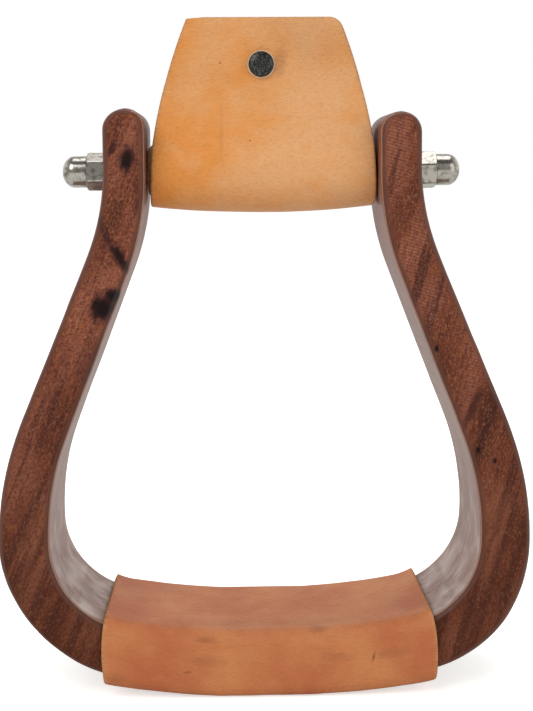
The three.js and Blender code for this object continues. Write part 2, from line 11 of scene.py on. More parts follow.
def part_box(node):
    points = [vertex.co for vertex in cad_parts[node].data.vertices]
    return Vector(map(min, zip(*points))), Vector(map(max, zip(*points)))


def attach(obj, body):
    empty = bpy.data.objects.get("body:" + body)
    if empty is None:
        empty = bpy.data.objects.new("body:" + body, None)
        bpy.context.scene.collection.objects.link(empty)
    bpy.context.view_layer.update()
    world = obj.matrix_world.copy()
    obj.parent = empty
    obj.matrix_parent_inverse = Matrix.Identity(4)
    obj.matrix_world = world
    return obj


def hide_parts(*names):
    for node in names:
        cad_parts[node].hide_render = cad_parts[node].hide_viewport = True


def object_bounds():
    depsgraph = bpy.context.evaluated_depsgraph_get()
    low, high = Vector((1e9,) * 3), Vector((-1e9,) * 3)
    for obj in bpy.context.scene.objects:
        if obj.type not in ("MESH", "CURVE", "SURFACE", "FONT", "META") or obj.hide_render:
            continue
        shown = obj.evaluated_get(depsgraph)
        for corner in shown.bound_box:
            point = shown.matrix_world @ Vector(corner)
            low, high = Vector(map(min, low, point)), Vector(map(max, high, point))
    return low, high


bl_info = {
    "name": "Wooden Western Stirrup",
    "version": (1, 0, 0),
    "blender": (4, 5, 0),
    "location": "View3D > Sidebar > Stirrup",
    "description": "Dresses a stirrup's frame in sawn walnut, russet leather and plated steel",
    "category": "Object",
}

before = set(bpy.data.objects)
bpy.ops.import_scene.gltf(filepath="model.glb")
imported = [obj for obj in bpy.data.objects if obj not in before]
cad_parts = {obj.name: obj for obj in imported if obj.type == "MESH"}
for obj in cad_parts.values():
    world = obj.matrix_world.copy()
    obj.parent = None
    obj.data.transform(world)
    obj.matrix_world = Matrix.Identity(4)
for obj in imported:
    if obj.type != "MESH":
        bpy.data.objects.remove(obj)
cad_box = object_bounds()

MM = 0.001
ROUTE_STEP = 0.25 * MM  # between points along a curve, before they are thinned out
CLOSE = 0.004 * MM  # points nearer to each other than this are one
THROUGH = 100 * MM  # half length of a cutter that goes right through
WAVE_PERIOD = 2 * math.pi / 20  # of Blender's wave texture at a scale of 1

# The photograph's long side and its camera's focal length in pixels, and the camera's place
# and turns in degrees, in this order
PHOTO_SIDE = 711
FOCAL_PIXELS = 1390
CAMERA_PLACE = (-10.73 * MM, -470.73 * MM, 0.04 * MM)
CAMERA_TURNS = ((-1.451, "Z"), (90 - 7.579, "X"), (-0.39, "Z"))

# The room: half the floor's width in metres, and how strongly the floor and the room shine
FLOOR_HALF = 6.0
FLOOR_GLOW = 0.68
ROOM_LIGHT = 0.52


# Sizes and colours that a user would change


def millimetres(name, description, size):
    """A length property whose default is given in millimetres."""
    return FloatProperty(name=name, description=description, default=size * MM, unit="LENGTH")


def degrees(name, description, size):
    """An angle property whose default is given in degrees."""
    turn = math.radians(size)
    return FloatProperty(name=name, description=description, default=turn, subtype="ANGLE")


def linear(text):
    """A scene-linear colour from an sRGB hex value."""
    parts = [int(text[i : i + 2], 16) / 255 for i in (1, 3, 5)]
    return tuple(p / 12.92 if p <= 0.04045 else ((p + 0.055) / 1.055) ** 2.4 for p in parts)


def colour(name, description, text):
    """A colour property whose default is given as an sRGB hex value."""
    return FloatVectorProperty(
        name=name, description=description, default=linear(text), subtype="COLOR", min=0.0, max=1.0
    )


class StirrupSizes(bpy.types.PropertyGroup):
    """Sizes of the wooden frame, the leathers and the fittings."""

    neck_gap: millimetres("Neck gap", "Between the two sides at the rod", 76.2)
    inside_width: millimetres("Inside width", "Widest room for the foot", 142.6)
    rod_to_tread: millimetres("Rod to tread", "From the rod's axis down to the tread's wood", 154.6)
    neck_thickness: millimetres("Neck thickness", "Side, across the limb at the neck", 13.5)
    tread_thickness: millimetres("Tread thickness", "Side and bar at the tread", 17.0)
    flare: degrees("Flare", "How far each limb leans outward", 22)
    neck_bend: millimetres("Neck bend", "Radius of the bend below the neck", 83.0)
    belly_bend: millimetres("Belly bend", "Radius of the bend above the corner", 101.0)
    corner: millimetres("Corner", "Radius of the lower corner", 37.8)
    tread_dish: millimetres("Tread dish", "Radius of the dished tread", 285.0)
    tread_flat: millimetres("Tread flat", "Half length of the tread's worn, flat stretch", 15.0)
    neck_depth: millimetres("Neck depth", "Front to back at the top", 38.6)
    tread_depth: millimetres("Tread depth", "Front to back at the tread", 50.8)
    edge_round: millimetres("Edge round", "Radius along the wood's edges", 2.5)
    cheek_end: millimetres("Cheek end", "Where each side ends beside the tread bar", 24.0)
    tongue_end: millimetres("Tongue end", "Depth of the slot for the tread bar's tongue", 46.0)
    tongue_depth: millimetres("Tongue depth", "Front to back of that slot", 17.0)
    dowel_inner: millimetres("Inner dowel", "Inner dowel from the middle", 30.5)
    dowel_outer: millimetres("Outer dowel", "Outer dowel from the middle", 39.5)
    dowel_hole: millimetres("Dowel hole", "Diameter of the dowel holes", 6.6)
    rod_hole: millimetres("Rod hole", "Diameter of the rod holes", 6.95)
    sway: millimetres("Sway", "Unevenness that hand work leaves in the wood", 0.25)
    left_lean: millimetres("Left top lean", "How far the left top leans inward", 0.6748)
    left_corner: millimetres("Left corner", "Left lower corner, past its curve", -0.9)
    right_corner: millimetres("Right corner", "Right lower corner, past its curve", 1.2)

    leather: millimetres("Leather", "Thickness of both leathers", 2.8)
    leather_edge: millimetres("Leather edge", "Radius along the leathers' cut edges", 0.6)
    seat_gap: millimetres("Seat gap", "Between pieces that bear on one another", 0.3)
    lumps: millimetres("Lumps", "Unevenness of the leathers", 0.35)
    wrap_half: millimetres("Wrap half length", "Tread leather, at mid height", 55.7)
    wrap_shift: millimetres("Wrap shift", "Tread leather to the right of the middle", 1.0)
    wrap_flare: millimetres("Wrap flare", "How much further each of its ends reaches on top", 3.3)
    wrap_hang: millimetres("Wrap hang", "How far its front right end hangs", 1.0)
    seam_place: millimetres("Seam place", "Seam of the tread leather behind the middle", 11.0)
    seam_width: millimetres("Seam width", "Between the two lips of the seam", 1.2)

    tack_count: IntProperty(name="Tacks", description="Tacks in each row", default=7, min=2)
    tack_pitch: millimetres("Tack pitch", "Between two tacks of a row", 14.0)
    tack_offset: millimetres("Tack offset", "From the seam to each row", 6.0)
    tack_head: millimetres("Tack head", "Diameter of a tack's head", 5.0)
    tack_length: millimetres("Tack length", "Whole length of a tack", 8.0)
    tack_sink: millimetres("Tack sink", "How deep a tack presses the leather in", 0.55)

    strap_top: millimetres("Strap top", "Top edge of the neck leather above the rod", 50.2)
    strap_top_half: millimetres("Strap top half width", "Neck leather at its top edge", 24.8)
    strap_fold_half: millimetres("Strap fold half width", "Neck leather at its fold", 37.6)
    strap_bow: millimetres("Strap bow", "How far its slanted sides bow out", 1.45)
    strap_corner: millimetres("Strap corner", "Radius of its right top corner", 3.0)
    strap_bevel: millimetres("Strap bevel", "Length of the bevel on its left top corner", 5.5)
    strap_shift: millimetres("Strap shift", "Neck leather to the right of the middle", 0.4)
    strap_spread: degrees("Strap spread", "Lean of each ply above the roll", 24)
    strap_parting: millimetres("Strap parting", "Radius where the two plies part", 15.0)
    roll_radius: millimetres("Roll radius", "Outside of the fold at its middle", 13.8)
    roll_crown: millimetres("Roll crown", "How much smaller the fold is at its ends", 2.2)
    rivet_height: millimetres("Rivet height", "Rivet above the rod", 34.9)
    rivet_cap: millimetres("Rivet cap", "Diameter of the rivet's caps", 8.4)
    rivet_post: millimetres("Rivet post", "Diameter of the rivet's post", 3.2)
    rivet_dome: millimetres("Rivet dome", "Height of each cap's rounded face", 1.1)
    rivet_pull: millimetres("Rivet pull", "How far the rivet pulls the leather in", 0.45)

    nut_flats: millimetres("Nut across flats", "Cap nut's hexagon", 11.1)
    nut_hex: millimetres("Nut hexagon height", "Height of the hexagon", 6.4)
    nut_dome: millimetres("Nut dome", "Diameter of the dome", 10.4)
    nut_dome_rise: millimetres("Nut dome rise", "Height of the dome's rounded end", 4.0)
    nut_bore: millimetres("Nut bore depth", "Depth of the blind hole", 9.5)
    left_nut_turn: degrees("Left nut turn", "Round the rod", 0)
    right_nut_turn: degrees("Right nut turn", "Round the rod", 15)


class StirrupColours(bpy.types.PropertyGroup):
    """Colours of the finishes."""

    walnut_light: colour("Walnut light", "Early wood under oil", "#8F5540")
    walnut_middle: colour("Walnut middle", "Main tone of the oiled wood", "#733D2A")
    walnut_dark: colour("Walnut dark", "Late wood and grain lines", "#4E281A")
    walnut_pore: colour("Walnut pore", "Open pores and the darkest rings", "#33191A")
    walnut_warm: colour("Walnut warm", "Orange flecks of the grain", "#A3602F")
    walnut_dry: colour("Walnut dry", "Pale specks of the sawn faces", "#A5735A")
    walnut_low: colour("Walnut low", "What the wood darkens to towards the tread", "#46210F")
    walnut_edge: colour("Walnut edge", "Sanded and rubbed edges", "#552A15")
    # painted light: the next three colours are the inner faces' pale sheen and highlights
    walnut_inner_sheen: colour("Walnut inner sheen", "Painted sheen of the inner faces, between the streaks", "#93604A")
    walnut_painted_sheen: colour("Walnut painted sheen", "Painted pale sheen and highlights of the inner faces", "#BE9F8D")
    walnut_painted_glint: colour("Walnut painted glint", "Painted highlights inside the lower corners", "#D8CBC4")
    walnut_knot: colour("Walnut knot", "Knots and resin", "#160D0B")
    maple: colour("Maple", "Bare hardwood of dowels and roller", "#B98F62")
    maple_fleck: colour("Maple fleck", "Flecks along its grain", "#8F6A42")
    strap_light: colour("Neck leather light", "Paler russet, to the right", "#DAA16B")
    strap_deep: colour("Neck leather deep", "Deeper russet, to the left", "#D98A3A")
    tread_light: colour("Tread leather light", "Rubbed parts", "#C67D4A")
    tread_deep: colour("Tread leather deep", "Handled parts", "#B46337")
    raw_edge: colour("Raw edge", "Fibres of a cut edge", "#C28C5C")
    raw_edge_deep: colour("Raw edge deep", "Between those fibres", "#9C6238")
    # painted highlight round the rivet's cap
    rivet_ring_highlight: colour("Rivet ring highlight", "Painted highlight round the rivet's cap", "#FFEBD2")
    leather_mark: colour("Leather mark", "Nicks and rubbed dirt", "#6E3B22")
    nickel: colour("Nickel", "Plated cap nuts and rod", "#B3AEA5")
    nickel_worn: colour("Nickel worn", "Tarnish on the cap nuts", "#857D72")
    rod_worn: colour("Rod worn", "Tarnish on the rod", "#A49A88")
    gunmetal: colour("Gunmetal", "Blackened rivet", "#2E3030")
    gunmetal_worn: colour("Gunmetal worn", "Rubbed parts of the rivet", "#65655F")
    steel: colour("Steel", "Tacks", "#8D8D8A")
    steel_blued: colour("Steel blued", "Blued parts of the tacks", "#4A4640")
    floor: colour("Floor", "Floor and backdrop", "#F4F4F2")


# Nodes


def add(tree, kind, inputs=None, out=None, stops=None, **settings):
    """Adds a node with its settings, fills or links its inputs, and gives back one output.
    A node without outputs is given back itself."""
    made = tree.nodes.new(kind)
    for key, value in settings.items():
        setattr(made, key, value)
    if stops:
        elements = made.color_ramp.elements
        while len(elements) < len(stops):
            elements.new(1.0)
        for element, (place, shade) in zip(elements, stops):
            element.position = place
            element.color = (*np.broadcast_to(shade, 3), 1.0)
    for key, value in (inputs or {}).items():
        if isinstance(key, int):
            socket = made.inputs[key]
        else:
            socket = next(s for s in made.inputs if s.enabled and key in (s.identifier, s.name))
        if isinstance(value, bpy.types.NodeSocket):
            tree.links.new(value, socket)
        elif socket.type == "RGBA":
            socket.default_value = (*value, 1.0)
        else:
            socket.default_value = value
    live = [s for s in made.outputs if s.enabled and out in (None, s.name, s.identifier)]
    return live[0] if live else made


def run_tree(piece, tree, values):
    """Runs a geometry node tree on a piece with these inputs and keeps what it makes."""
    modifier = piece.modifiers.new(tree.name, "NODES")
    modifier.node_group = tree
    for item in tree.interface.items_tree:
        if item.in_out == "INPUT" and item.name in values:
            modifier[item.identifier] = values[item.name]
    make_plain(piece)


def make_plain(piece):
    """Replaces a piece's mesh by what its modifiers make of it, and removes them."""
    graph = bpy.context.evaluated_depsgraph_get()
    made = bpy.data.meshes.new_from_object(
        piece.evaluated_get(graph), preserve_all_data_layers=True, depsgraph=graph
    )
    piece.modifiers.clear()
    made.name = piece.name
    piece.data = made


def new_geometry_tree(name, inputs):
    """An empty geometry node tree with named inputs, and its input sockets."""
    tree = bpy.data.node_groups.new(name, "GeometryNodeTree")
    tree.interface.new_socket(name="Geometry", in_out="INPUT", socket_type="NodeSocketGeometry")
    for socket_name, kind in inputs:
        tree.interface.new_socket(name=socket_name, in_out="INPUT", socket_type=f"NodeSocket{kind}")
    tree.interface.new_socket(name="Geometry", in_out="OUTPUT", socket_type="NodeSocketGeometry")
    return tree, add(tree, "NodeGroupInput").node.outputs


# The frame's curve, as its solids follow it


def frame_curve(sizes):
    """Places and angles along one limb's middle line, worked out from the driving sizes."""
    neck_x = (sizes.neck_gap + sizes.neck_thickness) / 2
    widest_x = (sizes.inside_width + sizes.tread_thickness) / 2
    corner_x = widest_x - sizes.corner
    reach = sizes.tread_dish - sizes.corner
    dish_z = -sizes.rod_to_tread - sizes.tread_thickness / 2 + sizes.tread_dish
    corner_z = dish_z - math.sqrt(reach**2 - corner_x**2)
    bends = sizes.neck_bend + sizes.belly_bend
    straight = (widest_x - neck_x - bends * (1 - math.cos(sizes.flare))) / math.sin(sizes.flare)
    return SimpleNamespace(
        neck_x=neck_x,
        corner_x=corner_x,
        corner_z=corner_z,
        dish_z=dish_z,
        dish_turn=math.asin(corner_x / reach),
        straight=straight,
        bend_z=corner_z + bends * math.sin(sizes.flare) + straight * math.cos(sizes.flare),
        growth_run=bends * sizes.flare + straight,
    )


def route(start, heading, pieces):
    """Points along lines and arcs, as arrays of length, first and second coordinate.
    Each piece is its run and its turn."""
    rows = [(0.0, *start)]
    length, first, second = rows[0]
    for run, turn in pieces:
        steps = max(1, round(run / ROUTE_STEP))
        half_turn = turn / steps / 2
        chord = run / steps * (math.sin(half_turn) / half_turn if turn else 1.0)
        for _ in range(steps):
            first += chord * math.cos(heading + half_turn)
            second += chord * math.sin(heading + half_turn)
            heading += 2 * half_turn
            length += run / steps
            rows.append((length, first, second))
    return np.array(rows).T


def wood_depth(sizes, z):
    """Front-to-back depth of the wood at a height, tapered all the way down."""
    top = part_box("right_side")[1].z
    lowest = -sizes.rod_to_tread - sizes.tread_thickness
    return sizes.neck_depth + (sizes.tread_depth - sizes.neck_depth) * (top - z) / (top - lowest)


def tread_line(sizes, x):
    """Lean and height of the tread's middle line at each x, straight across the flat middle."""
    curve = frame_curve(sizes)
    flat = sizes.tread_flat
    held = np.where(np.abs(x) < flat, np.where(x < 0, -flat, flat), x)
    in_dish = np.abs(held) < sizes.tread_dish * math.sin(curve.dish_turn)
    dish_lean = np.arcsin(held / sizes.tread_dish)
    corner_sine = np.clip((np.abs(held) - curve.corner_x) / sizes.corner, 0, 1)
    corner_lean = np.sign(held) * np.arcsin(corner_sine)
    lean = np.where(in_dish, dish_lean, corner_lean) * (x / held)
    dish_height = curve.dish_z - sizes.tread_dish * np.cos(dish_lean)
    corner_height = curve.corner_z - sizes.corner * np.cos(corner_lean)
    return lean, np.where(in_dish, dish_height, corner_height)


# Mesh helpers


def mesh_object(name, points, faces, edges=()):
    """A linked mesh object from points and faces."""
    mesh = bpy.data.meshes.new(name)
    mesh.from_pydata([tuple(p) for p in points], list(edges), faces)
    piece = bpy.data.objects.new(name, mesh)
    bpy.context.scene.collection.objects.link(piece)
    return piece


def close_shell(piece, cut_place=None, cut_keep=None):
    """Merges doubles, cuts the piece off at a plane, fills open ends and turns faces outward."""
    shell = bmesh.new()
    shell.from_mesh(piece.data)
    bmesh.ops.remove_doubles(shell, verts=shell.verts, dist=CLOSE)
    bmesh.ops.dissolve_degenerate(shell, edges=shell.edges, dist=CLOSE)
    if cut_place:
        everything = [*shell.verts, *shell.edges, *shell.faces]
        bmesh.ops.bisect_plane(
            shell, geom=everything, plane_co=cut_place, plane_no=cut_keep, clear_inner=True
        )
    bmesh.ops.holes_fill(shell, edges=shell.edges, sides=0)
    bmesh.ops.recalc_face_normals(shell, faces=shell.faces)
    shell.to_mesh(piece.data)
    shell.free()


def smooth(piece, sharp_degrees):
    """Smooth shading, with edges sharper than this angle left crisp."""
    piece.data.shade_smooth()
    piece.data.set_sharp_from_angle(angle=math.radians(sharp_degrees))


def read(source, key, width):
    """One property of a mesh's parts as an array."""
    values = np.zeros(len(source) * width)
    source.foreach_get(key, values)
    return values.reshape(-1, width)


def put(mesh, points):
    """Moves a mesh's vertices to new places."""
    mesh.vertices.foreach_set("co", points.ravel())
    mesh.update()


def write(piece, key, kind, values):
    """Stores a number or a vector for each vertex under a name that materials and nodes read."""
    attribute = piece.data.attributes.new(key, kind, "POINT")
    attribute.data.foreach_set("vector" if kind == "FLOAT_VECTOR" else "value", values.ravel())


def swell(points, size, seed):
    """Smooth noise from -1 to 1 at each point, with lumps of this size."""
    shift = Vector((seed, seed * 2.0, seed * 3.0))
    return np.array([noise.noise(Vector(p) / size + shift) for p in points])


def turned(name, profile, sides, direction, centre):
    """A solid of revolution from (distance along, radius) pairs about an axis through a centre.
    A radius may be a function of the angle."""
    angles = np.linspace(0, 2 * math.pi, sides, endpoint=False)
    rings = []
    for along, radius in profile:
        reach = radius(angles) if callable(radius) else np.full(sides, radius)
        ring = [reach * np.cos(angles), reach * np.sin(angles), np.full(sides, along)]
        rings.append(np.stack(ring, axis=1))
    turn = np.array(Vector(direction).to_track_quat("Z", "Y").to_matrix())
    points = np.concatenate(rings) @ turn.T + np.array(centre)
    faces = []
    for r in range(len(profile) - 1):
        for i in range(sides):
            j = (i + 1) % sides
            faces.append((r * sides + i, r * sides + j, (r + 1) * sides + j, (r + 1) * sides + i))
    piece = mesh_object(name, points, faces)
    close_shell(piece)
    return piece


def cut(piece, cutter):
    """Cuts one closed piece out of another."""
    modifier = piece.modifiers.new("Cut", "BOOLEAN")
    modifier.object = cutter
    modifier.operation = "DIFFERENCE"
    modifier.solver = "MANIFOLD"
    make_plain(piece)
    bpy.data.objects.remove(cutter)


def drill(piece, radius, sides, direction, centre, reach=THROUGH):
    """Drills a round hole right through a piece."""
    profile = [(-reach, 0), (-reach, radius), (reach, radius), (reach, 0)]
    cut(piece, turned("hole", profile, sides, direction, centre))


def hand_over(piece, material, body, slot, *replaced):
    """Finishes a piece: material, the body it rides on and the nodes it stands for.
    Its slot is not used.
    """
    piece.data.materials.clear()
    piece.data.materials.append(material)
    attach(piece, body)
    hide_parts(*replaced)


# A strip of rounded section swept along a line


def swept_strip_tree():
    """Sweeps a rounded rectangle along a line whose points carry half_size, across and wide.
    The rounding keeps its radius while the flats follow the half size."""
    tree, given = new_geometry_tree(
        "Swept strip",
        [
            ("Typical Half Size", "Vector"),
            ("Wide Axis", "Vector"),
            ("Edge Round", "Float"),
            ("Edge Step", "Float"),
            ("Flat Step", "Float"),
            ("Material", "Material"),
        ],
    )
    vector = "ShaderNodeVectorMath"
    radius = given["Edge Round"]

    # the section is drawn with short flats, so that its points crowd into the rounded edges
    steps = {0: given["Edge Step"], 1: given["Flat Step"]}
    share = add(tree, "ShaderNodeMath", steps, operation="DIVIDE")
    flat = add(tree, vector, {0: given["Typical Half Size"], 1: radius}, operation="SUBTRACT")
    flat = add(tree, vector, {0: flat, "Scale": share}, operation="SCALE")
    drawn = add(tree, vector, {0: flat, 1: radius}, operation="ADD")
    drawn = add(tree, vector, {0: drawn, "Scale": 2.0}, operation="SCALE")
    drawn = add(tree, "ShaderNodeSeparateXYZ", {0: drawn}).node.outputs
    sides = {"Width": drawn[0], "Height": drawn[1]}
    section = add(tree, "GeometryNodeCurvePrimitiveQuadrilateral", sides)
    rounding = {"Curve": section, "Radius": radius, "Count": 10}
    section = add(tree, "GeometryNodeFilletCurve", rounding, mode="POLY")
    spacing = {"Curve": section, "Length": given["Edge Step"]}
    section = add(tree, "GeometryNodeResampleCurve", spacing, mode="LENGTH")
    line = add(tree, "GeometryNodeMeshToCurve", {"Mesh": given["Geometry"]})
    here = add(tree, "GeometryNodeInputPosition")
    tangent = add(tree, "GeometryNodeInputTangent")
    sideways = add(tree, vector, {0: tangent, 1: given["Wide Axis"]}, operation="CROSS_PRODUCT")
    sideways = add(tree, vector, {0: sideways}, operation="NORMALIZE")
    keep, vectors = "GeometryNodeStoreNamedAttribute", {"data_type": "FLOAT_VECTOR"}
    section = add(tree, keep, {"Geometry": section, "Name": "section", "Value": here}, **vectors)
    line = add(tree, keep, {"Geometry": line, "Name": "place", "Value": here}, **vectors)
    line = add(tree, keep, {"Geometry": line, "Name": "across", "Value": sideways}, **vectors)
    swept = add(tree, "GeometryNodeCurveToMesh", {"Curve": line, "Profile Curve": section})

    kept = {
        key: add(tree, "GeometryNodeInputNamedAttribute", {"Name": key}, **vectors)
        for key in ("section", "place", "across", "half_size")
    }
    size = add(tree, vector, {0: kept["section"]}, operation="ABSOLUTE")
    on_flat = add(tree, vector, {0: size, 1: flat}, operation="MINIMUM")
    on_round = add(tree, vector, {0: size, 1: on_flat}, operation="SUBTRACT")
    wanted = add(tree, vector, {0: kept["half_size"], 1: radius}, operation="SUBTRACT")
    wanted = add(tree, vector, {0: wanted, 1: (0, 0, 0)}, operation="MAXIMUM")
    stretch = add(tree, vector, {0: wanted, 1: flat}, operation="DIVIDE")
    squeeze = add(tree, vector, {0: kept["half_size"], 1: radius}, operation="DIVIDE")
    squeeze = add(tree, vector, {0: squeeze, 1: (1, 1, 1)}, operation="MINIMUM")
    on_flat = add(tree, vector, {0: on_flat, 1: stretch}, operation="MULTIPLY")
    reach = add(tree, vector, {0: on_round, 1: squeeze, 2: on_flat}, operation="MULTIPLY_ADD")
    sign = add(tree, vector, {0: kept["section"]}, operation="SIGN")
    reach = add(tree, vector, {0: reach, 1: sign}, operation="MULTIPLY")
    reach = add(tree, "ShaderNodeSeparateXYZ", {0: reach}).node.outputs
    moved = kept["place"]
    for axis, run in ((kept["across"], reach[0]), (given["Wide Axis"], reach[1])):
        step = add(tree, vector, {0: axis, "Scale": run}, operation="SCALE")
        moved = add(tree, vector, {0: moved, 1: step}, operation="ADD")
    shaped = add(tree, "GeometryNodeSetPosition", {"Geometry": swept, "Position": moved})
    real = add(tree, "GeometryNodeRealizeInstances", {"Geometry": shaped})
    made = add(tree, "GeometryNodeSetMaterial", {"Geometry": real, "Material": given["Material"]})
    add(tree, "NodeGroupOutput", {"Geometry": made})
    return tree


def swept_strip(name, points, half_sizes, material, wide_axis, edge_round, edge_step, flat_step):
    """A strip along a line of points with a half size (across, wide) at each. Its section has
    a point every edge_step round its edges and every flat_step along its flats.
    Gives back the piece and, for each of its points, its place in the section and on the line."""
    piece = mesh_object(name, points, [], [(i, i + 1) for i in range(len(points) - 1)])
    sizes = np.zeros((len(points), 3))
    sizes[:, :2] = half_sizes
    write(piece, "half_size", "FLOAT_VECTOR", sizes)
    run_tree(
        piece,
        bpy.data.node_groups.get("Swept strip") or swept_strip_tree(),
        {
            "Typical Half Size": tuple(sizes.max(axis=0)),
            "Wide Axis": wide_axis,
            "Edge Round": edge_round,
            "Edge Step": edge_step,
            "Flat Step": flat_step,
            "Material": material,
        },
    )
    found = {}
    for key in ("section", "place", "across", "half_size"):
        attribute = piece.data.attributes[key]
        found[key] = read(attribute.data, "vector", 3)
        piece.data.attributes.remove(attribute)
    return piece, SimpleNamespace(**found)


def strip_lengths(total, edge, near, near_step, far_step):
    """Where a strip's sections lie: crowded into its rounded ends, then near them, then even."""
    first = edge * (1 - np.cos(np.linspace(0, math.pi / 2, 6)))
    second = np.arange(edge, near, near_step)
    middle = np.linspace(near, total / 2, math.ceil((total / 2 - near) / far_step) + 1)
    half = np.concatenate([first, second, middle])
    return np.unique(np.concatenate([half, total - half]).round(7))


def end_inset(lengths, total, edge):
    """How far a rounded end draws a strip's section in at each length."""
    missing = np.clip(edge - np.minimum(lengths, total - lengths), 0, edge)
    return edge - np.sqrt(edge**2 - missing**2)


def mark_raw_edges(piece, found, edge, half_thickness):
    """Writes the raw_edge attribute, 1 where a leather strip was cut."""
    wide = np.abs(found.section[:, 1])
    cut_side = np.clip((wide - wide.max()) / edge + 1.3, 0, 1)
    cut_end = np.clip((half_thickness - found.half_size[:, 0]) / edge * 2.5, 0, 1)
    write(piece, "raw_edge", "FLOAT", np.maximum(cut_side, cut_end))


# Finishes


def new_material(name):
    """An empty node material, its tree, its principled shader's inputs and object coordinates."""
    material = bpy.data.materials.new(name)
    material.use_nodes = True
    tree = material.node_tree
    tree.nodes.clear()
    surface = add(tree, "ShaderNodeBsdfPrincipled")
    add(tree, "ShaderNodeOutputMaterial", {"Surface": surface})
    return material, tree, surface.node.inputs, add(tree, "ShaderNodeTexCoord", out="Object")


def patterns(tree, place, lean, rows):
    """Noise patterns, each from its name, its size in mm across, deep and along, and its detail."""
    made = {}
    for key, size, detail in rows:
        at = add(
            tree,
            "ShaderNodeMapping",
            {"Vector": place, "Rotation": (0, lean, 0), "Scale": [s * MM for s in size]},
            vector_type="TEXTURE",
        )
        made[key] = add(tree, "ShaderNodeTexNoise", {"Vector": at, "Scale": 1.0, "Detail": detail})
    return made


def blend(tree, tint, layers):
    """Mixes colours into a tint, each where its pattern runs from one value to another."""
    for pattern, start, end, most, shade in layers:
        share = {"Value": pattern, "From Min": start, "From Max": end, "To Max": most}
        share = add(tree, "ShaderNodeMapRange", share)
        mixed = {"Factor": share, "A": tint, "B": shade}
        tint = add(tree, "ShaderNodeMix", mixed, data_type="RGBA")
    return tint


def spot(tree, place, ragged, centre, half_size, lean):
    """Distance from a spot's centre, 1 at its rim, torn up by a pattern.
    Places and sizes are in mm, and the lean in degrees."""
    at = add(
        tree,
        "ShaderNodeMapping",
        {
            "Vector": place,
            "Location": [c * MM for c in centre],
            "Rotation": (0, math.radians(lean), 0),
            "Scale": [s * MM for s in half_size],
        },
        vector_type="TEXTURE",
    )
    away = add(tree, "ShaderNodeVectorMath", {0: at}, out="Value", operation="LENGTH")
    torn = add(tree, "ShaderNodeMath", {0: ragged, 1: 0.5}, operation="SUBTRACT")
    return add(tree, "ShaderNodeMath", {0: torn, 1: 0.9, 2: away}, operation="MULTIPLY_ADD")


def wood_faces(tree, place):
    """Where each kind of face lies on a side, from 0 to 1: sawn, with a rubbed edge, inside,
    where a painted pale sheen goes, on a thin arris, where a painted highlight goes, and
    low down."""
    normal = add(tree, "ShaderNodeTexCoord", out="Normal")
    normal = add(tree, "ShaderNodeSeparateXYZ", {0: normal}).node.outputs
    where = add(tree, "ShaderNodeSeparateXYZ", {0: place}).node.outputs
    facing = add(tree, "ShaderNodeMath", {0: normal["Y"]}, operation="ABSOLUTE")
    sawn = add(tree, "ShaderNodeMapRange", {"Value": facing, "From Min": 0.88, "From Max": 0.99})
    rounded = add(tree, "ShaderNodeMapRange", {"Value": facing, "From Min": 0.25, "From Max": 0.7})
    rubbed = {0: rounded, 1: sawn}
    rubbed = add(tree, "ShaderNodeMath", rubbed, operation="SUBTRACT", use_clamp=True)

    # the inner faces look at the middle or up; they get a painted pale sheen, which stands
    # for the white backdrop mirrored at a low angle, only below the neck leather, which shades
    # them higher up
    side = add(tree, "ShaderNodeMath", {0: where["X"]}, operation="SIGN")
    inward = add(tree, "ShaderNodeMath", {0: normal["X"], 1: side}, operation="MULTIPLY")
    inner = {"Value": inward, "From Min": -0.35, "From Max": -0.75}
    inner = add(tree, "ShaderNodeMapRange", inner)
    upward = {"Value": normal["Z"], "From Min": 0.35, "From Max": 0.75}
    upward = add(tree, "ShaderNodeMapRange", upward)
    inner = {0: add(tree, "ShaderNodeMath", {0: inner, 1: upward}, operation="MAXIMUM"), 1: rounded}
    inner = add(tree, "ShaderNodeMath", inner, operation="SUBTRACT", use_clamp=True)
    below_neck = {"Value": where["Z"], "From Min": 4 * MM, "From Max": -10 * MM}
    below_neck = add(tree, "ShaderNodeMapRange", below_neck)
    inner = add(tree, "ShaderNodeMath", {0: inner, 1: below_neck}, operation="MULTIPLY")

    # a painted highlight runs along the inner edges in a thin pale line
    arris = add(tree, "ShaderNodeMath", {0: facing, 1: 0.45, 2: 0.1}, operation="COMPARE")
    arris_side = add(tree, "ShaderNodeMath", {0: inward, 1: -0.3}, operation="LESS_THAN")
    arris = add(tree, "ShaderNodeMath", {0: arris, 1: arris_side}, operation="MULTIPLY")

    low = {"Value": where["Z"], "From Min": -50 * MM, "From Max": -140 * MM}
    low = add(tree, "ShaderNodeMapRange", low)
    return SimpleNamespace(sawn=sawn, rubbed=rubbed, inner=inner, arris=arris, low=low)


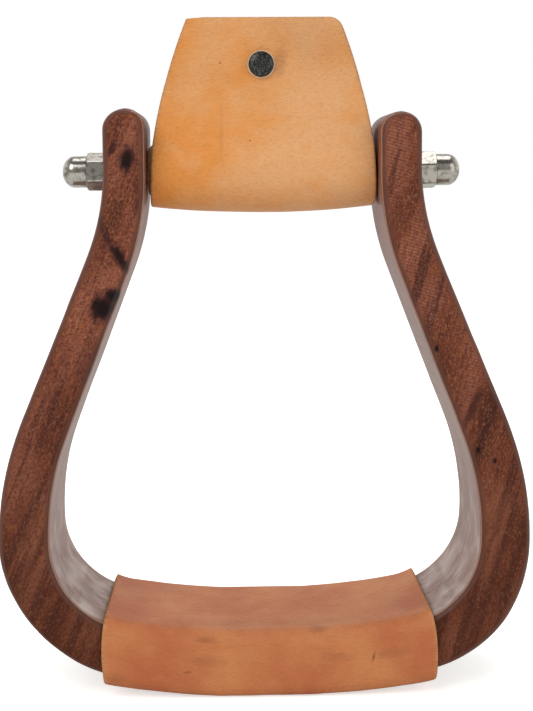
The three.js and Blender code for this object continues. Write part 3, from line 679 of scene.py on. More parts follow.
def sawn_walnut(name, colours, lean, knots, saw_lean, saw_depth):
    """Black walnut, band-sawn, sanded at the edges and oiled under a thin satin varnish.
    The sawn front and back soak the finish up and look dry, speckled and lined by the saw,
    the rounded edges are deep and red, and the inner faces shine at a low angle, with a pale
    sheen and highlights painted into their colour."""
    material, tree, shader, place = new_material(name)
    faces = wood_faces(tree, place)
    # pores are 0.2 mm wide, drawn as specks of 0.55 mm to show; rings and fibres have real sizes
    made = patterns(
        tree,
        place,
        lean,
        (
            ("tone", (13, 30, 36), 4.0),
            ("band", (3.4, 32, 60), 3.0),
            ("warm", (1.6, 2.5, 3.2), 3.0),
            ("fibre", (0.8, 1.1, 18), 3.0),
            ("speck", (0.55, 0.6, 1.0), 2.0),
        ),
    )
    # sanding streaks follow each face round its bends; the painted sheen and the painted
    # highlight low in the inner corners follow them too
    swept = add(tree, "ShaderNodeAttribute", out="Vector", attribute_name="swept_place")
    rows = (("streak", (0.6, 0.6, 15), 4.0), ("glint", (1.6, 3.2, 11), 6.0))
    made |= patterns(tree, swept, 0.0, rows)
    # band saw teeth leave lines about 0.8 mm apart, drawn 1 mm apart to show; they fade
    # here and there and towards the tread
    at = add(
        tree,
        "ShaderNodeMapping",
        {"Vector": place, "Rotation": (0, saw_lean, 0), "Scale": [1.0 * MM / WAVE_PERIOD] * 3},
        vector_type="TEXTURE",
    )
    teeth = add(
        tree,
        "ShaderNodeTexWave",
        {"Vector": at, "Scale": 1.0, "Distortion": 4.5, "Detail": 3.0, "Detail Scale": 0.2},
        out="Fac",
        bands_direction="Z",
    )
    fading = {"Value": made["tone"], "From Min": 0.36, "From Max": 0.55, "To Min": 0.45}
    fading = {0: faces.low, 1: -0.75, 2: add(tree, "ShaderNodeMapRange", fading)}
    fading = add(tree, "ShaderNodeMath", fading, operation="MULTIPLY_ADD", use_clamp=True)
    teeth = add(tree, "ShaderNodeMath", {0: teeth, 1: faces.sawn}, operation="MULTIPLY")
    teeth = add(tree, "ShaderNodeMath", {0: teeth, 1: fading}, operation="MULTIPLY")

    # the wood darkens towards the tread, and its rings show more there
    ringed = {0: faces.low, 1: 0.08, 2: 0.43}
    ringed = add(tree, "ShaderNodeMath", ringed, operation="MULTIPLY_ADD")
    ringed = add(tree, "ShaderNodeMath", {0: ringed, 1: made["band"]}, operation="SUBTRACT")
    dry = add(tree, "ShaderNodeMath", {0: made["speck"], 1: faces.sawn}, operation="MULTIPLY")
    streaked, low_glint = (
        add(tree, "ShaderNodeMath", {0: made[key], 1: faces.inner}, operation="MULTIPLY")
        for key in ("streak", "glint")
    )
    # the painted highlight is kept low in the inner corners
    low_glint = add(tree, "ShaderNodeMath", {0: low_glint, 1: faces.low}, operation="MULTIPLY")
    dark, pore = colours.walnut_dark, colours.walnut_pore
    stops = [(0.34, dark), (0.47, colours.walnut_middle), (0.64, colours.walnut_light)]
    tint = add(tree, "ShaderNodeValToRGB", {"Fac": made["tone"]}, stops=stops)
    tint = blend(
        tree,
        tint,
        (
            (made["warm"], 0.56, 0.7, 0.36, colours.walnut_warm),
            (ringed, 0.0, 0.1, 0.65, pore),
            (made["fibre"], 0.52, 0.34, 0.42, dark),
            (made["speck"], 0.49, 0.32, 0.7 - 0.6 * saw_depth, pore),
            (dry, 0.53, 0.7, 0.4, colours.walnut_dry),
            (faces.low, 0.0, 1.0, 0.56, colours.walnut_low),
            (teeth, 0.4, 1.0, saw_depth, pore),
            (faces.rubbed, 0.0, 1.0, 0.75, colours.walnut_edge),
            # painted sheen: the inner faces are paled as if they mirrored the white backdrop
            (faces.inner, 0.0, 1.0, 0.4, colours.walnut_inner_sheen),
            # painted sheen along the streaks of the inner faces
            (streaked, 0.38, 0.72, 0.4, colours.walnut_painted_sheen),
            # painted highlight low in the inner corners, where the curve faces up to the light
            (low_glint, 0.38, 0.7, 0.55, colours.walnut_painted_glint),
            # painted highlight along the inner edges
            (faces.arris, 0.0, 1.0, 0.45, colours.walnut_painted_sheen),
        ),
    )
    # knots and resin: a dark stain round a nearly black core, near the front face
    for x, z, across, along, knot_lean, stain, core in knots:
        away = spot(tree, place, made["warm"], (x, -22, z), (across, 9, along), knot_lean)
        layers = ((away, 1.15, 0.6, stain, pore), (away, 0.72, 0.4, core, colours.walnut_knot))
        tint = blend(tree, tint, layers)
    tree.links.new(tint, shader["Base Color"])

    # sawn wood is dry, sanded wood has a sheen, and only the inner faces keep their varnish
    fibre = made["fibre"]
    rough = add(tree, "ShaderNodeMapRange", {"Value": faces.sawn, "To Min": 0.3, "To Max": 0.6})
    rough = add(tree, "ShaderNodeMath", {0: fibre, 1: 0.3, 2: rough}, operation="MULTIPLY_ADD")
    tree.links.new(rough, shader["Roughness"])
    level = add(tree, "ShaderNodeMapRange", {"Value": faces.sawn, "To Min": 0.4, "To Max": 0.12})
    tree.links.new(level, shader["Specular IOR Level"])
    varnish = add(tree, "ShaderNodeMapRange", {"Value": faces.inner, "To Min": 0.0, "To Max": 0.22})
    tree.links.new(varnish, shader["Coat Weight"])
    shader["Coat Roughness"].default_value = 0.28
    relief = fibre
    for pattern, height in ((teeth, -0.5), (made["speck"], 0.8), (streaked, 0.8)):
        heights = {0: pattern, 1: height, 2: relief}
        relief = add(tree, "ShaderNodeMath", heights, operation="MULTIPLY_ADD")
    bump = add(tree, "ShaderNodeBump", {"Height": relief, "Strength": 0.5, "Distance": 0.12 * MM})
    tree.links.new(bump, shader["Normal"])
    return material


def bare_hardwood(name, tone, dark):
    """Bare maple or walnut, planed or turned and never varnished.
    It looks dry and even, with short brown flecks along the grain."""
    material, tree, shader, place = new_material(name)
    flecks = patterns(tree, place, 0.0, (("fleck", (12, 0.8, 0.8), 4.0),))["fleck"]
    tint = add(tree, "ShaderNodeValToRGB", {"Fac": flecks}, stops=[(0.32, dark), (0.55, tone)])
    tree.links.new(tint, shader["Base Color"])
    shader["Roughness"].default_value = 0.65
    bump = add(tree, "ShaderNodeBump", {"Height": flecks, "Strength": 0.4, "Distance": 0.1 * MM})
    tree.links.new(bump, shader["Normal"])
    return material


def russet_leather(name, shades, colours, marks, side_sheen_tint, ring=None):
    """Vegetable-tanned russet harness leather with its natural grain and a wax finish.
    It clouds from pale to deep tan, is finely wrinkled across and shows nicks and rubbed dirt,
    and its cut edges are raw and fibrous."""
    material, tree, shader, place = new_material(name)
    light, deep = shades
    # the grain's pebbles are 0.3 mm across and its creases as far apart, drawn coarser to show
    made = patterns(
        tree,
        place,
        0.0,
        (
            ("cloud", (24, 30, 24), 3.0),
            ("blotch", (8, 8, 5), 4.0),
            ("crease", (1.7, 1.7, 0.55), 2.0),
            ("grit", (0.8, 0.8, 0.6), 2.0),
        ),
    )
    pebble = add(tree, "ShaderNodeTexVoronoi", {"Vector": place, "Scale": 1 / (0.9 * MM)})
    # painted sheen: the tone drifts paler to the right, standing for the light from that side
    sideways = add(tree, "ShaderNodeSeparateXYZ", {0: place}, out="X")
    side_sheen = {"Value": sideways, "From Min": -30 * MM, "From Max": 14 * MM}
    side_sheen |= {"To Min": -side_sheen_tint, "To Max": side_sheen_tint}
    side_sheen = add(tree, "ShaderNodeMapRange", side_sheen)
    tone = add(tree, "ShaderNodeMath", {0: made["cloud"], 1: side_sheen}, operation="ADD")
    tint = add(tree, "ShaderNodeValToRGB", {"Fac": tone}, stops=[(0.33, deep), (0.66, light)])
    dirt = colours.leather_mark
    tint = blend(
        tree,
        tint,
        (
            (made["blotch"], 0.5, 0.75, 0.35, deep),
            (made["blotch"], 0.46, 0.28, 0.35, light),
            (made["crease"], 0.5, 0.28, 0.14, dirt),
            (made["grit"], 0.5, 0.2, 0.1, dirt),
            (pebble, 0.2, 0.9, 0.06, dirt),
        ),
    )
    for x, y, z, across, along, lean, strength in marks:
        away = spot(tree, place, made["grit"], (x, y, z), (across, 4, along), lean)
        tint = blend(tree, tint, ((away, 1.5, 0.5, strength, dirt),))
    if ring:
        # a painted highlight: a pale ring where the leather dips round the rivet's cap
        at = add(tree, "ShaderNodeMapping", {"Vector": place, "Location": (0, 0, -ring.height)})
        at = add(tree, "ShaderNodeVectorMath", {0: at, 1: (1, 0, 1)}, operation="MULTIPLY")
        away = add(tree, "ShaderNodeVectorMath", {0: at}, out="Value", operation="LENGTH")
        pressed = (away, ring.radius + 0.5 * MM, ring.radius + 0.1 * MM, 0.7, colours.rivet_ring_highlight)
        tint = blend(tree, tint, (pressed,))
    raw = add(tree, "ShaderNodeAttribute", out="Fac", attribute_name="raw_edge")
    stops = [(0.3, colours.raw_edge_deep), (0.6, colours.raw_edge)]
    fibres = add(tree, "ShaderNodeValToRGB", {"Fac": made["crease"]}, stops=stops)
    tint = add(tree, "ShaderNodeMix", {"Factor": raw, "A": tint, "B": fibres}, data_type="RGBA")
    tree.links.new(tint, shader["Base Color"])
    rough = {"Value": made["blotch"], "To Min": 0.42, "To Max": 0.62}
    rough = add(tree, "ShaderNodeMapRange", rough)
    rough = add(tree, "ShaderNodeMath", {0: raw, 1: 0.3, 2: rough}, operation="MULTIPLY_ADD")
    tree.links.new(rough, shader["Roughness"])
    shader["Specular IOR Level"].default_value = 0.35
    relief = made["crease"]
    for pattern, height in ((pebble, -0.25), (made["grit"], 0.4)):
        heights = {0: pattern, 1: height, 2: relief}
        relief = add(tree, "ShaderNodeMath", heights, operation="MULTIPLY_ADD")
    bump = add(tree, "ShaderNodeBump", {"Height": relief, "Strength": 0.7, "Distance": 0.35 * MM})
    tree.links.new(bump, shader["Normal"])
    return material


def worn_metal(name, shades, roughness, grain, dulled):
    """Steel under a thin plating or blackening, handled for years.
    It is bright where it is whole, and cloudy and rougher where it is worn or tarnished.
    The noise behind the cloudy patches has its grain in mm, and it dulls the metal as its value
    goes from the first of the two in dulled to the second."""
    material, tree, shader, place = new_material(name)
    wear = {"Vector": place, "Scale": 1 / (grain * MM), "Detail": 5.0}
    wear = add(tree, "ShaderNodeTexNoise", wear)
    # scratches are 0.02 mm wide, drawn 0.12 mm wide to show
    scratches = patterns(tree, place, 0.0, (("scratch", (2.5, 0.12, 0.12), 2.0),))["scratch"]
    bright, dull = shades
    tint = blend(tree, bright, ((wear, *dulled, 1.0, dull),))
    tree.links.new(tint, shader["Base Color"])
    shader["Metallic"].default_value = 1.0
    rough = {"Value": wear, "To Min": roughness * 0.6, "To Max": roughness * 1.5}
    rough = add(tree, "ShaderNodeMapRange", rough)
    tree.links.new(rough, shader["Roughness"])
    height = {"Height": scratches, "Strength": 0.15, "Distance": 0.02 * MM}
    tree.links.new(add(tree, "ShaderNodeBump", height), shader["Normal"])
    return material


# Pieces


def make_limb(sizes, name, side, material):
    """One sawn side: the tapered, round-edged curve with its slot, dowel holes and rod hole."""
    curve = frame_curve(sizes)
    crown = sizes.neck_thickness / 2
    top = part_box(name)[1].z
    start = top - crown
    corner_turn = math.pi / 2 - curve.dish_turn
    length, x, z = route(
        (curve.neck_x, start),
        -math.pi / 2,
        [
            (start - curve.bend_z, 0),
            (sizes.neck_bend * sizes.flare, sizes.flare),
            (curve.straight, 0),
            (sizes.belly_bend * sizes.flare, -sizes.flare),
            (sizes.corner * corner_turn, -corner_turn),
            (sizes.tread_dish * curve.dish_turn, -curve.dish_turn),
        ],
    )
    # a section every 1.2 mm, to a little past the joint, where the end is cut off square
    down = np.arange(0, length[x > sizes.cheek_end - 3 * MM].max(), 1.2 * MM)
    x, z = np.interp(down, length, x), np.interp(down, length, z)
    share = np.clip((down - (start - curve.bend_z)) / curve.growth_run, 0, 1)
    across = (sizes.neck_thickness + (sizes.tread_thickness - sizes.neck_thickness) * share) / 2
    # sections of the round top, from just under its summit, where they have no width
    rise = crown * np.cos(np.linspace(0.03, math.pi / 2, 16))[:-1]
    x = np.concatenate([np.full(len(rise), curve.neck_x), x])
    z = np.concatenate([start + rise, z])
    across = np.concatenate([np.sqrt(np.maximum(crown**2 - rise**2, 0)), across])
    past = np.clip(z - (top - sizes.edge_round), 0, sizes.edge_round)
    wide = wood_depth(sizes, z) / 2 - (sizes.edge_round - np.sqrt(sizes.edge_round**2 - past**2))
    piece, found = swept_strip(
        name + "_wood",
        np.stack([x * side, 0 * x, z], axis=1),
        np.stack([across, wide], axis=1),
        material,
        wide_axis=(0, 1, 0),
        edge_round=sizes.edge_round,
        edge_step=0.45 * MM,
        flat_step=1.3 * MM,
    )
    # where each point lies in its section and along the limb, for streaks that follow its bends
    run = np.concatenate([[0], np.cumsum(np.hypot(np.diff(x), np.diff(z)))])
    swept_place = found.section.copy()
    swept_place[:, 2] = np.interp(-found.place[:, 2], -z, run)
    write(piece, "swept_place", "FLOAT_VECTOR", swept_place)
    close_shell(piece, (sizes.cheek_end * side, 0, 0), (side, 0, 0))

    # sawn by eye: the left top leans inward, and the right lower corner is fuller than the left
    points = read(piece.data.vertices, "co", 3)
    normals = read(piece.data.vertex_normals, "vector", 3)
    away, below = points[:, 0] * side - curve.corner_x, curve.corner_z - points[:, 2]
    outside = np.hypot(away, below) > sizes.corner
    fuller = outside * np.sin(2 * np.clip(np.arctan2(below, away), 0, math.pi / 2)) ** 2
    fuller *= sizes.right_corner if side > 0 else sizes.left_corner
    points += normals * [1, 0, 1] * fuller[:, None]
    if side < 0:
        bent_above = 13 * MM
        leaning = np.clip((points[:, 2] - bent_above) / (top - bent_above), 0, 1)
        points[:, 0] += sizes.left_lean * leaning**2

    # hand work wanders a little, always into the wood, but not where the tread leather covers it
    wander = swell(points, 16 * MM, 3.0 + side) + 0.5 * swell(points, 6 * MM, 7.0 + side)
    above = points[:, 2] > -140 * MM
    bare = np.clip((np.abs(points[:, 0]) - 62 * MM) / (6 * MM) + above, 0, 1)
    wander = np.minimum(wander / 2 - 0.5, 0) * bare * sizes.sway
    put(piece.data, points + normals * wander[:, None])

    joint_top = tread_line(sizes, np.array([sizes.tongue_end]))[1][0] + sizes.tread_thickness
    corners = [
        (i, j, k)
        for i in (0, sizes.tongue_end * side)
        for j in (-sizes.tongue_depth / 2, sizes.tongue_depth / 2)
        for k in (joint_top - THROUGH, joint_top)
    ]
    walls = [(0, 1, 3, 2), (4, 6, 7, 5), (0, 4, 5, 1), (2, 3, 7, 6), (0, 2, 6, 4), (1, 5, 7, 3)]
    slot = mesh_object("slot", corners, walls)
    close_shell(slot)
    cut(piece, slot)
    for hole_x in (sizes.dowel_inner, sizes.dowel_outer):
        hole_z = tread_line(sizes, np.array([hole_x]))[1][0]
        drill(piece, sizes.dowel_hole / 2, 48, (0, 1, 0), (hole_x * side, 0, hole_z))
    drill(piece, sizes.rod_hole / 2, 48, (1, 0, 0), (0, 0, 0))
    smooth(piece, 35)
    return piece


class STIRRUP_OT_sides(bpy.types.Operator):
    """Make the two sawn walnut sides with their rounded edges"""

    bl_idname = "stirrup.sides"
    bl_label = "Wooden Sides"

    def execute(self, context):
        sizes, colours = context.scene.stirrup_sizes, context.scene.stirrup_colours
        # knots and resin: x, z, half size across and along in mm, lean in degrees, stain, core
        left_knots = [
            (-43.6, 3.7, 3.2, 5.4, 8, 0.8, 0.9),
            (-48.3, 7.5, 1.5, 3.2, 20, 0.7, 0.3),
            (-51.4, -18.5, 1.4, 6.5, -20, 0.55, 0.0),
            (-46.7, -27.3, 2.1, 6.6, -31, 0.85, 0.85),
            (-52.3, -43.4, 4.6, 5.4, 15, 0.95, 0.95),
            (-48.6, -40.0, 3.6, 3.2, 40, 0.9, 0.9),
            (-58.0, -62.0, 4.0, 8.0, 20, 0.35, 0.0),
        ]
        right_knots = [
            (56.4, -58.1, 1.1, 1.6, 20, 0.8, 0.9),
            (70.1, -91.7, 1.0, 1.4, 20, 0.8, 0.9),
            (75.8, -95.4, 0.9, 1.2, 20, 0.7, 0.8),
            (68.6, -77.1, 1.6, 8.5, 23, 0.6, 0.2),
        ]
        # the grain and the saw lines lean by these angles, and the saw went deeper on the right
        for name, side, lean, knots, saw_lean, saw_depth in (
            ("left_side", -1, 23, left_knots, 4, 0.12),
            ("right_side", 1, 15, right_knots, 15, 0.4),
        ):
            lean, saw_lean = math.radians(lean), math.radians(saw_lean)
            label = f"Oiled sawn walnut, {name}"
            material = sawn_walnut(label, colours, lean, knots, saw_lean, saw_depth)
            piece = make_limb(sizes, name, side, material)
            hand_over(piece, material, "frame", "stained_wood", name)
        return {"FINISHED"}


class STIRRUP_OT_joinery(bpy.types.Operator):
    """Finish the tread bar, the dowels, the roller and the rod, which stay as solids"""

    bl_idname = "stirrup.joinery"
    bl_label = "Joinery, Roller and Rod"

    def execute(self, context):
        colours = context.scene.stirrup_colours
        walnut = bare_hardwood("Bare walnut", colours.walnut_middle, colours.walnut_dark)
        maple = bare_hardwood("Bare maple", colours.maple, colours.maple_fleck)
        plated = worn_metal(
            "Nickel plated rod",
            (colours.nickel, colours.rod_worn),
            roughness=0.25,
            grain=3,
            dulled=(0.5, 0.7),
        )
        finishes = {"tread_bar": walnut, "neck_roller": maple, "neck_rod": plated}
        finishes |= {name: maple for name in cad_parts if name.endswith("_dowel")}
        for name, finish in finishes.items():
            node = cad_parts[name]
            node.data.materials.clear()
            node.data.materials.append(finish)
        return {"FINISHED"}


def tack_places(sizes):
    """Where each tack goes in from below."""
    middle = (sizes.tack_count - 1) / 2
    return [
        ((i - middle) * sizes.tack_pitch, sizes.seam_place + row * sizes.tack_offset)
        for row in (-1, 1)
        for i in range(sizes.tack_count)
    ]


class STIRRUP_OT_tread_leather(bpy.types.Operator):
    """Wrap the tread in leather, open at the seam underneath"""

    bl_idname = "stirrup.tread_leather"
    bl_label = "Tread Leather"

    def execute(self, context):
        sizes, colours = context.scene.stirrup_sizes, context.scene.stirrup_colours
        # nicks and rubbed dirt: x, y, z, size across and along in mm, lean in degrees, strength
        marks = [
            (-26.3, -26, -164.3, 1.3, 0.4, -8, 0.75),
            (35.3, -26, -160.1, 0.4, 1.8, 14, 0.8),
            (-20.3, -26, -153.6, 3.6, 0.9, 2, 0.4),
            (17.4, -26, -151.2, 2.8, 0.8, -6, 0.4),
            (-20.0, -26, -160.7, 6.0, 1.7, 4, 0.25),
            (24.0, -26, -159.8, 5.0, 1.6, 0, 0.22),
            (42.0, -26, -158.6, 5.5, 1.6, -8, 0.24),
            (2.0, -18, -151.5, 34.0, 3.2, 0, 0.16),
            (-50.0, -26, -166.0, 4.0, 2.0, -8, 0.25),
        ]
        shades = (colours.tread_light, colours.tread_deep)
        label = "Waxed russet tread leather"
        material = russet_leather(label, shades, colours, marks, side_sheen_tint=0.03)
        half = sizes.leather / 2
        high = sizes.tread_thickness / 2 + sizes.seat_gap + half
        deep = sizes.tread_depth / 2 + sizes.seat_gap + half
        bend = sizes.edge_round + half
        lip = sizes.seam_width / 2
        corner = (bend * math.pi / 2, math.pi / 2)
        upright = (2 * (high - bend), 0)
        length, y, up = route(
            (sizes.seam_place + lip, -high),
            0.0,
            [
                (deep - bend - sizes.seam_place - lip, 0),
                corner,
                upright,
                corner,
                (2 * (deep - bend), 0),
                corner,
                upright,
                corner,
                (deep - bend + sizes.seam_place - lip, 0),
            ],
        )
        edge = sizes.leather_edge
        along = strip_lengths(length[-1], edge, near=3 * MM, near_step=0.5 * MM, far_step=0.9 * MM)
        y, up = np.interp(along, length, y), np.interp(along, length, up)
        # bent up with the wood, the leather is drawn in at its top, so it is cut longer there
        wide = sizes.wrap_half + sizes.wrap_flare * up / high
        inset = end_inset(along, length[-1], edge)
        piece, found = swept_strip(
            "tread_leather_wrap",
            np.stack([np.full(len(y), sizes.wrap_shift), y, up], axis=1),
            np.stack([half - inset, wide], axis=1),
            material,
            wide_axis=(1, 0, 0),
            edge_round=edge,
            edge_step=0.18 * MM,
            flat_step=1.0 * MM,
        )
        mark_raw_edges(piece, found, edge, half)

        # its outer face swells and sinks as leather does over wood, never past its full size
        points = read(piece.data.vertices, "co", 3)
        core = np.clip(points, [-1, bend - deep, bend - high], [1, deep - bend, high - bend])
        core[:, 0] = points[:, 0]
        outward = (points - core) / np.maximum(np.linalg.norm(points - core, axis=1), 1e-9)[:, None]
        at = found.place + points * [1, 0, 0]
        lumps = swell(at, 17 * MM, 11.0) + 0.4 * swell(at, 7 * MM, 5.0)
        section = found.section[:, 0] / found.section[:, 0].max()
        sunk = (np.clip(lumps, -1, 1) - 1) / 2 * (section + 1) / 2
        points = points + outward * (sunk * sizes.lumps)[:, None]

        # bend it along the tread
        x, up = points[:, 0].copy(), points[:, 2].copy()
        lean, height = tread_line(sizes, x)
        depth = wood_depth(sizes, height - sizes.tread_thickness / 2)
        points[:, 1] *= (depth + 2 * (sizes.seat_gap + half)) / (2 * deep)
        points[:, 0] = x - np.sin(lean) * up
        points[:, 2] = np.maximum(height + np.cos(lean) * up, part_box("tread_leather")[0].z)

        # it hangs a little at the front of its right end
        hang = np.clip(x / sizes.wrap_half, 0, 1) ** 2 * np.clip(-up / high, 0, 1) ** 3
        hang *= np.clip(-points[:, 1] / (12 * MM), 0, 1) * (section + 1) / 2
        points[:, 2] -= sizes.wrap_hang * hang

        # each tack head sinks into the leather
        reach = sizes.tack_head / 2
        underneath = (up < -high) & (np.abs(points[:, 1]) < deep - bend)
        for tack_x, tack_y in tack_places(sizes):
            away = np.hypot(points[:, 0] - tack_x, points[:, 1] - tack_y)
            sink = np.clip((reach * 1.7 - away) / (reach * 0.7), 0, 1)
            points[:, 2] += underneath * sizes.tack_sink * sink * sink * (3 - 2 * sink)
        put(piece.data, points)
        close_shell(piece)
        smooth(piece, 50)
        hand_over(piece, material, "frame", "russet_leather", "tread_leather")
        return {"FINISHED"}


def tack_rows_tree():
    """Sets copies of one tack in two rows beside a seam, along the tread's dished underside."""
    tree, given = new_geometry_tree(
        "Tack rows",
        [
            ("Count", "Int"),
            ("Pitch", "Float"),
            ("Row Offset", "Float"),
            ("Seam", "Float"),
            ("Dish Radius", "Float"),
            ("Dish Height", "Float"),
            ("Flat Half", "Float"),
            ("Material", "Material"),
        ],
    )
    scalar = "ShaderNodeMath"
    last = add(tree, scalar, {0: given["Count"], 1: 1.0}, operation="SUBTRACT")
    run = add(tree, scalar, {0: last, 1: given["Pitch"]}, operation="MULTIPLY")
    start = add(tree, scalar, {0: run, 1: -0.5}, operation="MULTIPLY")
    offset = add(tree, "ShaderNodeCombineXYZ", {"X": given["Pitch"]})
    rows = []
    for kind in ("SUBTRACT", "ADD"):
        row_y = add(tree, scalar, {0: given["Seam"], 1: given["Row Offset"]}, operation=kind)
        first = add(tree, "ShaderNodeCombineXYZ", {"X": start, "Y": row_y})
        row = {"Count": given["Count"], "Start Location": first, "Offset": offset}
        rows.append(add(tree, "GeometryNodeMeshLine", row))
    joined = add(tree, "GeometryNodeJoinGeometry", {"Geometry": rows[0]})
    tree.links.new(rows[1], joined.node.inputs["Geometry"])

    # the dish is a circle seen from the front, with a flat across its lowest part
    here = add(tree, "GeometryNodeInputPosition")
    here = add(tree, "ShaderNodeSeparateXYZ", {0: here}).node.outputs
    away = add(tree, scalar, {0: here[0]}, operation="ABSOLUTE")
    held = add(tree, scalar, {0: away, 1: given["Flat Half"]}, operation="MAXIMUM")
    sine = add(tree, scalar, {0: held, 1: given["Dish Radius"]}, operation="DIVIDE")
    slope = add(tree, scalar, {0: sine}, operation="ARCSINE")
    cosine = add(tree, scalar, {0: slope}, operation="COSINE")
    drop = add(tree, scalar, {0: cosine, 1: given["Dish Radius"]}, operation="MULTIPLY")
    height = add(tree, scalar, {0: given["Dish Height"], 1: drop}, operation="SUBTRACT")
    place = add(tree, "ShaderNodeCombineXYZ", {"X": here[0], "Y": here[1], "Z": height})
    beyond = add(tree, scalar, {0: away, 1: given["Flat Half"]}, operation="GREATER_THAN")
    sign = add(tree, scalar, {0: here[0]}, operation="SIGN")
    turn = slope
    for factor in (beyond, sign, -1.0):
        turn = add(tree, scalar, {0: turn, 1: factor}, operation="MULTIPLY")
    turn = add(tree, "ShaderNodeCombineXYZ", {"Y": turn})
    placed = add(tree, "GeometryNodeSetPosition", {"Geometry": joined, "Position": place})
    tacks = add(
        tree,
        "GeometryNodeInstanceOnPoints",
        {"Points": placed, "Instance": given["Geometry"], "Rotation": turn},
    )
    real = add(tree, "GeometryNodeRealizeInstances", {"Geometry": tacks})
    made = add(tree, "GeometryNodeSetMaterial", {"Geometry": real, "Material": given["Material"]})
    add(tree, "NodeGroupOutput", {"Geometry": made})
    return tree


class STIRRUP_OT_tread_tacks(bpy.types.Operator):
    """Drive two rows of tacks beside the seam of the tread leather"""

    bl_idname = "stirrup.tread_tacks"
    bl_label = "Tread Tacks"

    def execute(self, context):
        sizes, colours = context.scene.stirrup_sizes, context.scene.stirrup_colours
        # a low domed head with a rounded rim, then the tapered shank and its point
        head, shank, tip = sizes.tack_head / 2, 0.8 * MM, sizes.tack_length
        arc = np.linspace(0, math.pi / 2, 7)
        profile = [(0.15 * MM + 0.3 * MM * (1 - math.cos(a)), head * math.sin(a)) for a in arc]
        profile += [(0.7 * MM, head * 0.98), (0.85 * MM, head * 0.9), (0.85 * MM, shank * 1.3)]
        profile += [(1.2 * MM, shank), (tip - 2 * MM, shank * 0.9), (tip, 0)]
        piece = turned("tread_tacks", profile, 20, (0, 0, 1), (0, 0, 0))
        outer = sizes.tread_dish + sizes.tread_thickness / 2 + sizes.seat_gap + sizes.leather
        material = worn_metal(
            "Blued steel tacks",
            (colours.steel, colours.steel_blued),
            roughness=0.35,
            grain=2,
            dulled=(0.42, 0.6),
        )
        run_tree(
            piece,
            tack_rows_tree(),
            {
                "Count": sizes.tack_count,
                "Pitch": sizes.tack_pitch,
                "Row Offset": sizes.tack_offset,
                "Seam": sizes.seam_place,
                "Dish Radius": outer,
                "Dish Height": frame_curve(sizes).dish_z,
                "Flat Half": sizes.tread_flat * outer / sizes.tread_dish,
                "Material": material,
            },
        )
        smooth(piece, 40)
        nodes = [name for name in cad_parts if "_tack_" in name]
        hand_over(piece, material, "frame", "tack_steel", *nodes)
        return {"FINISHED"}


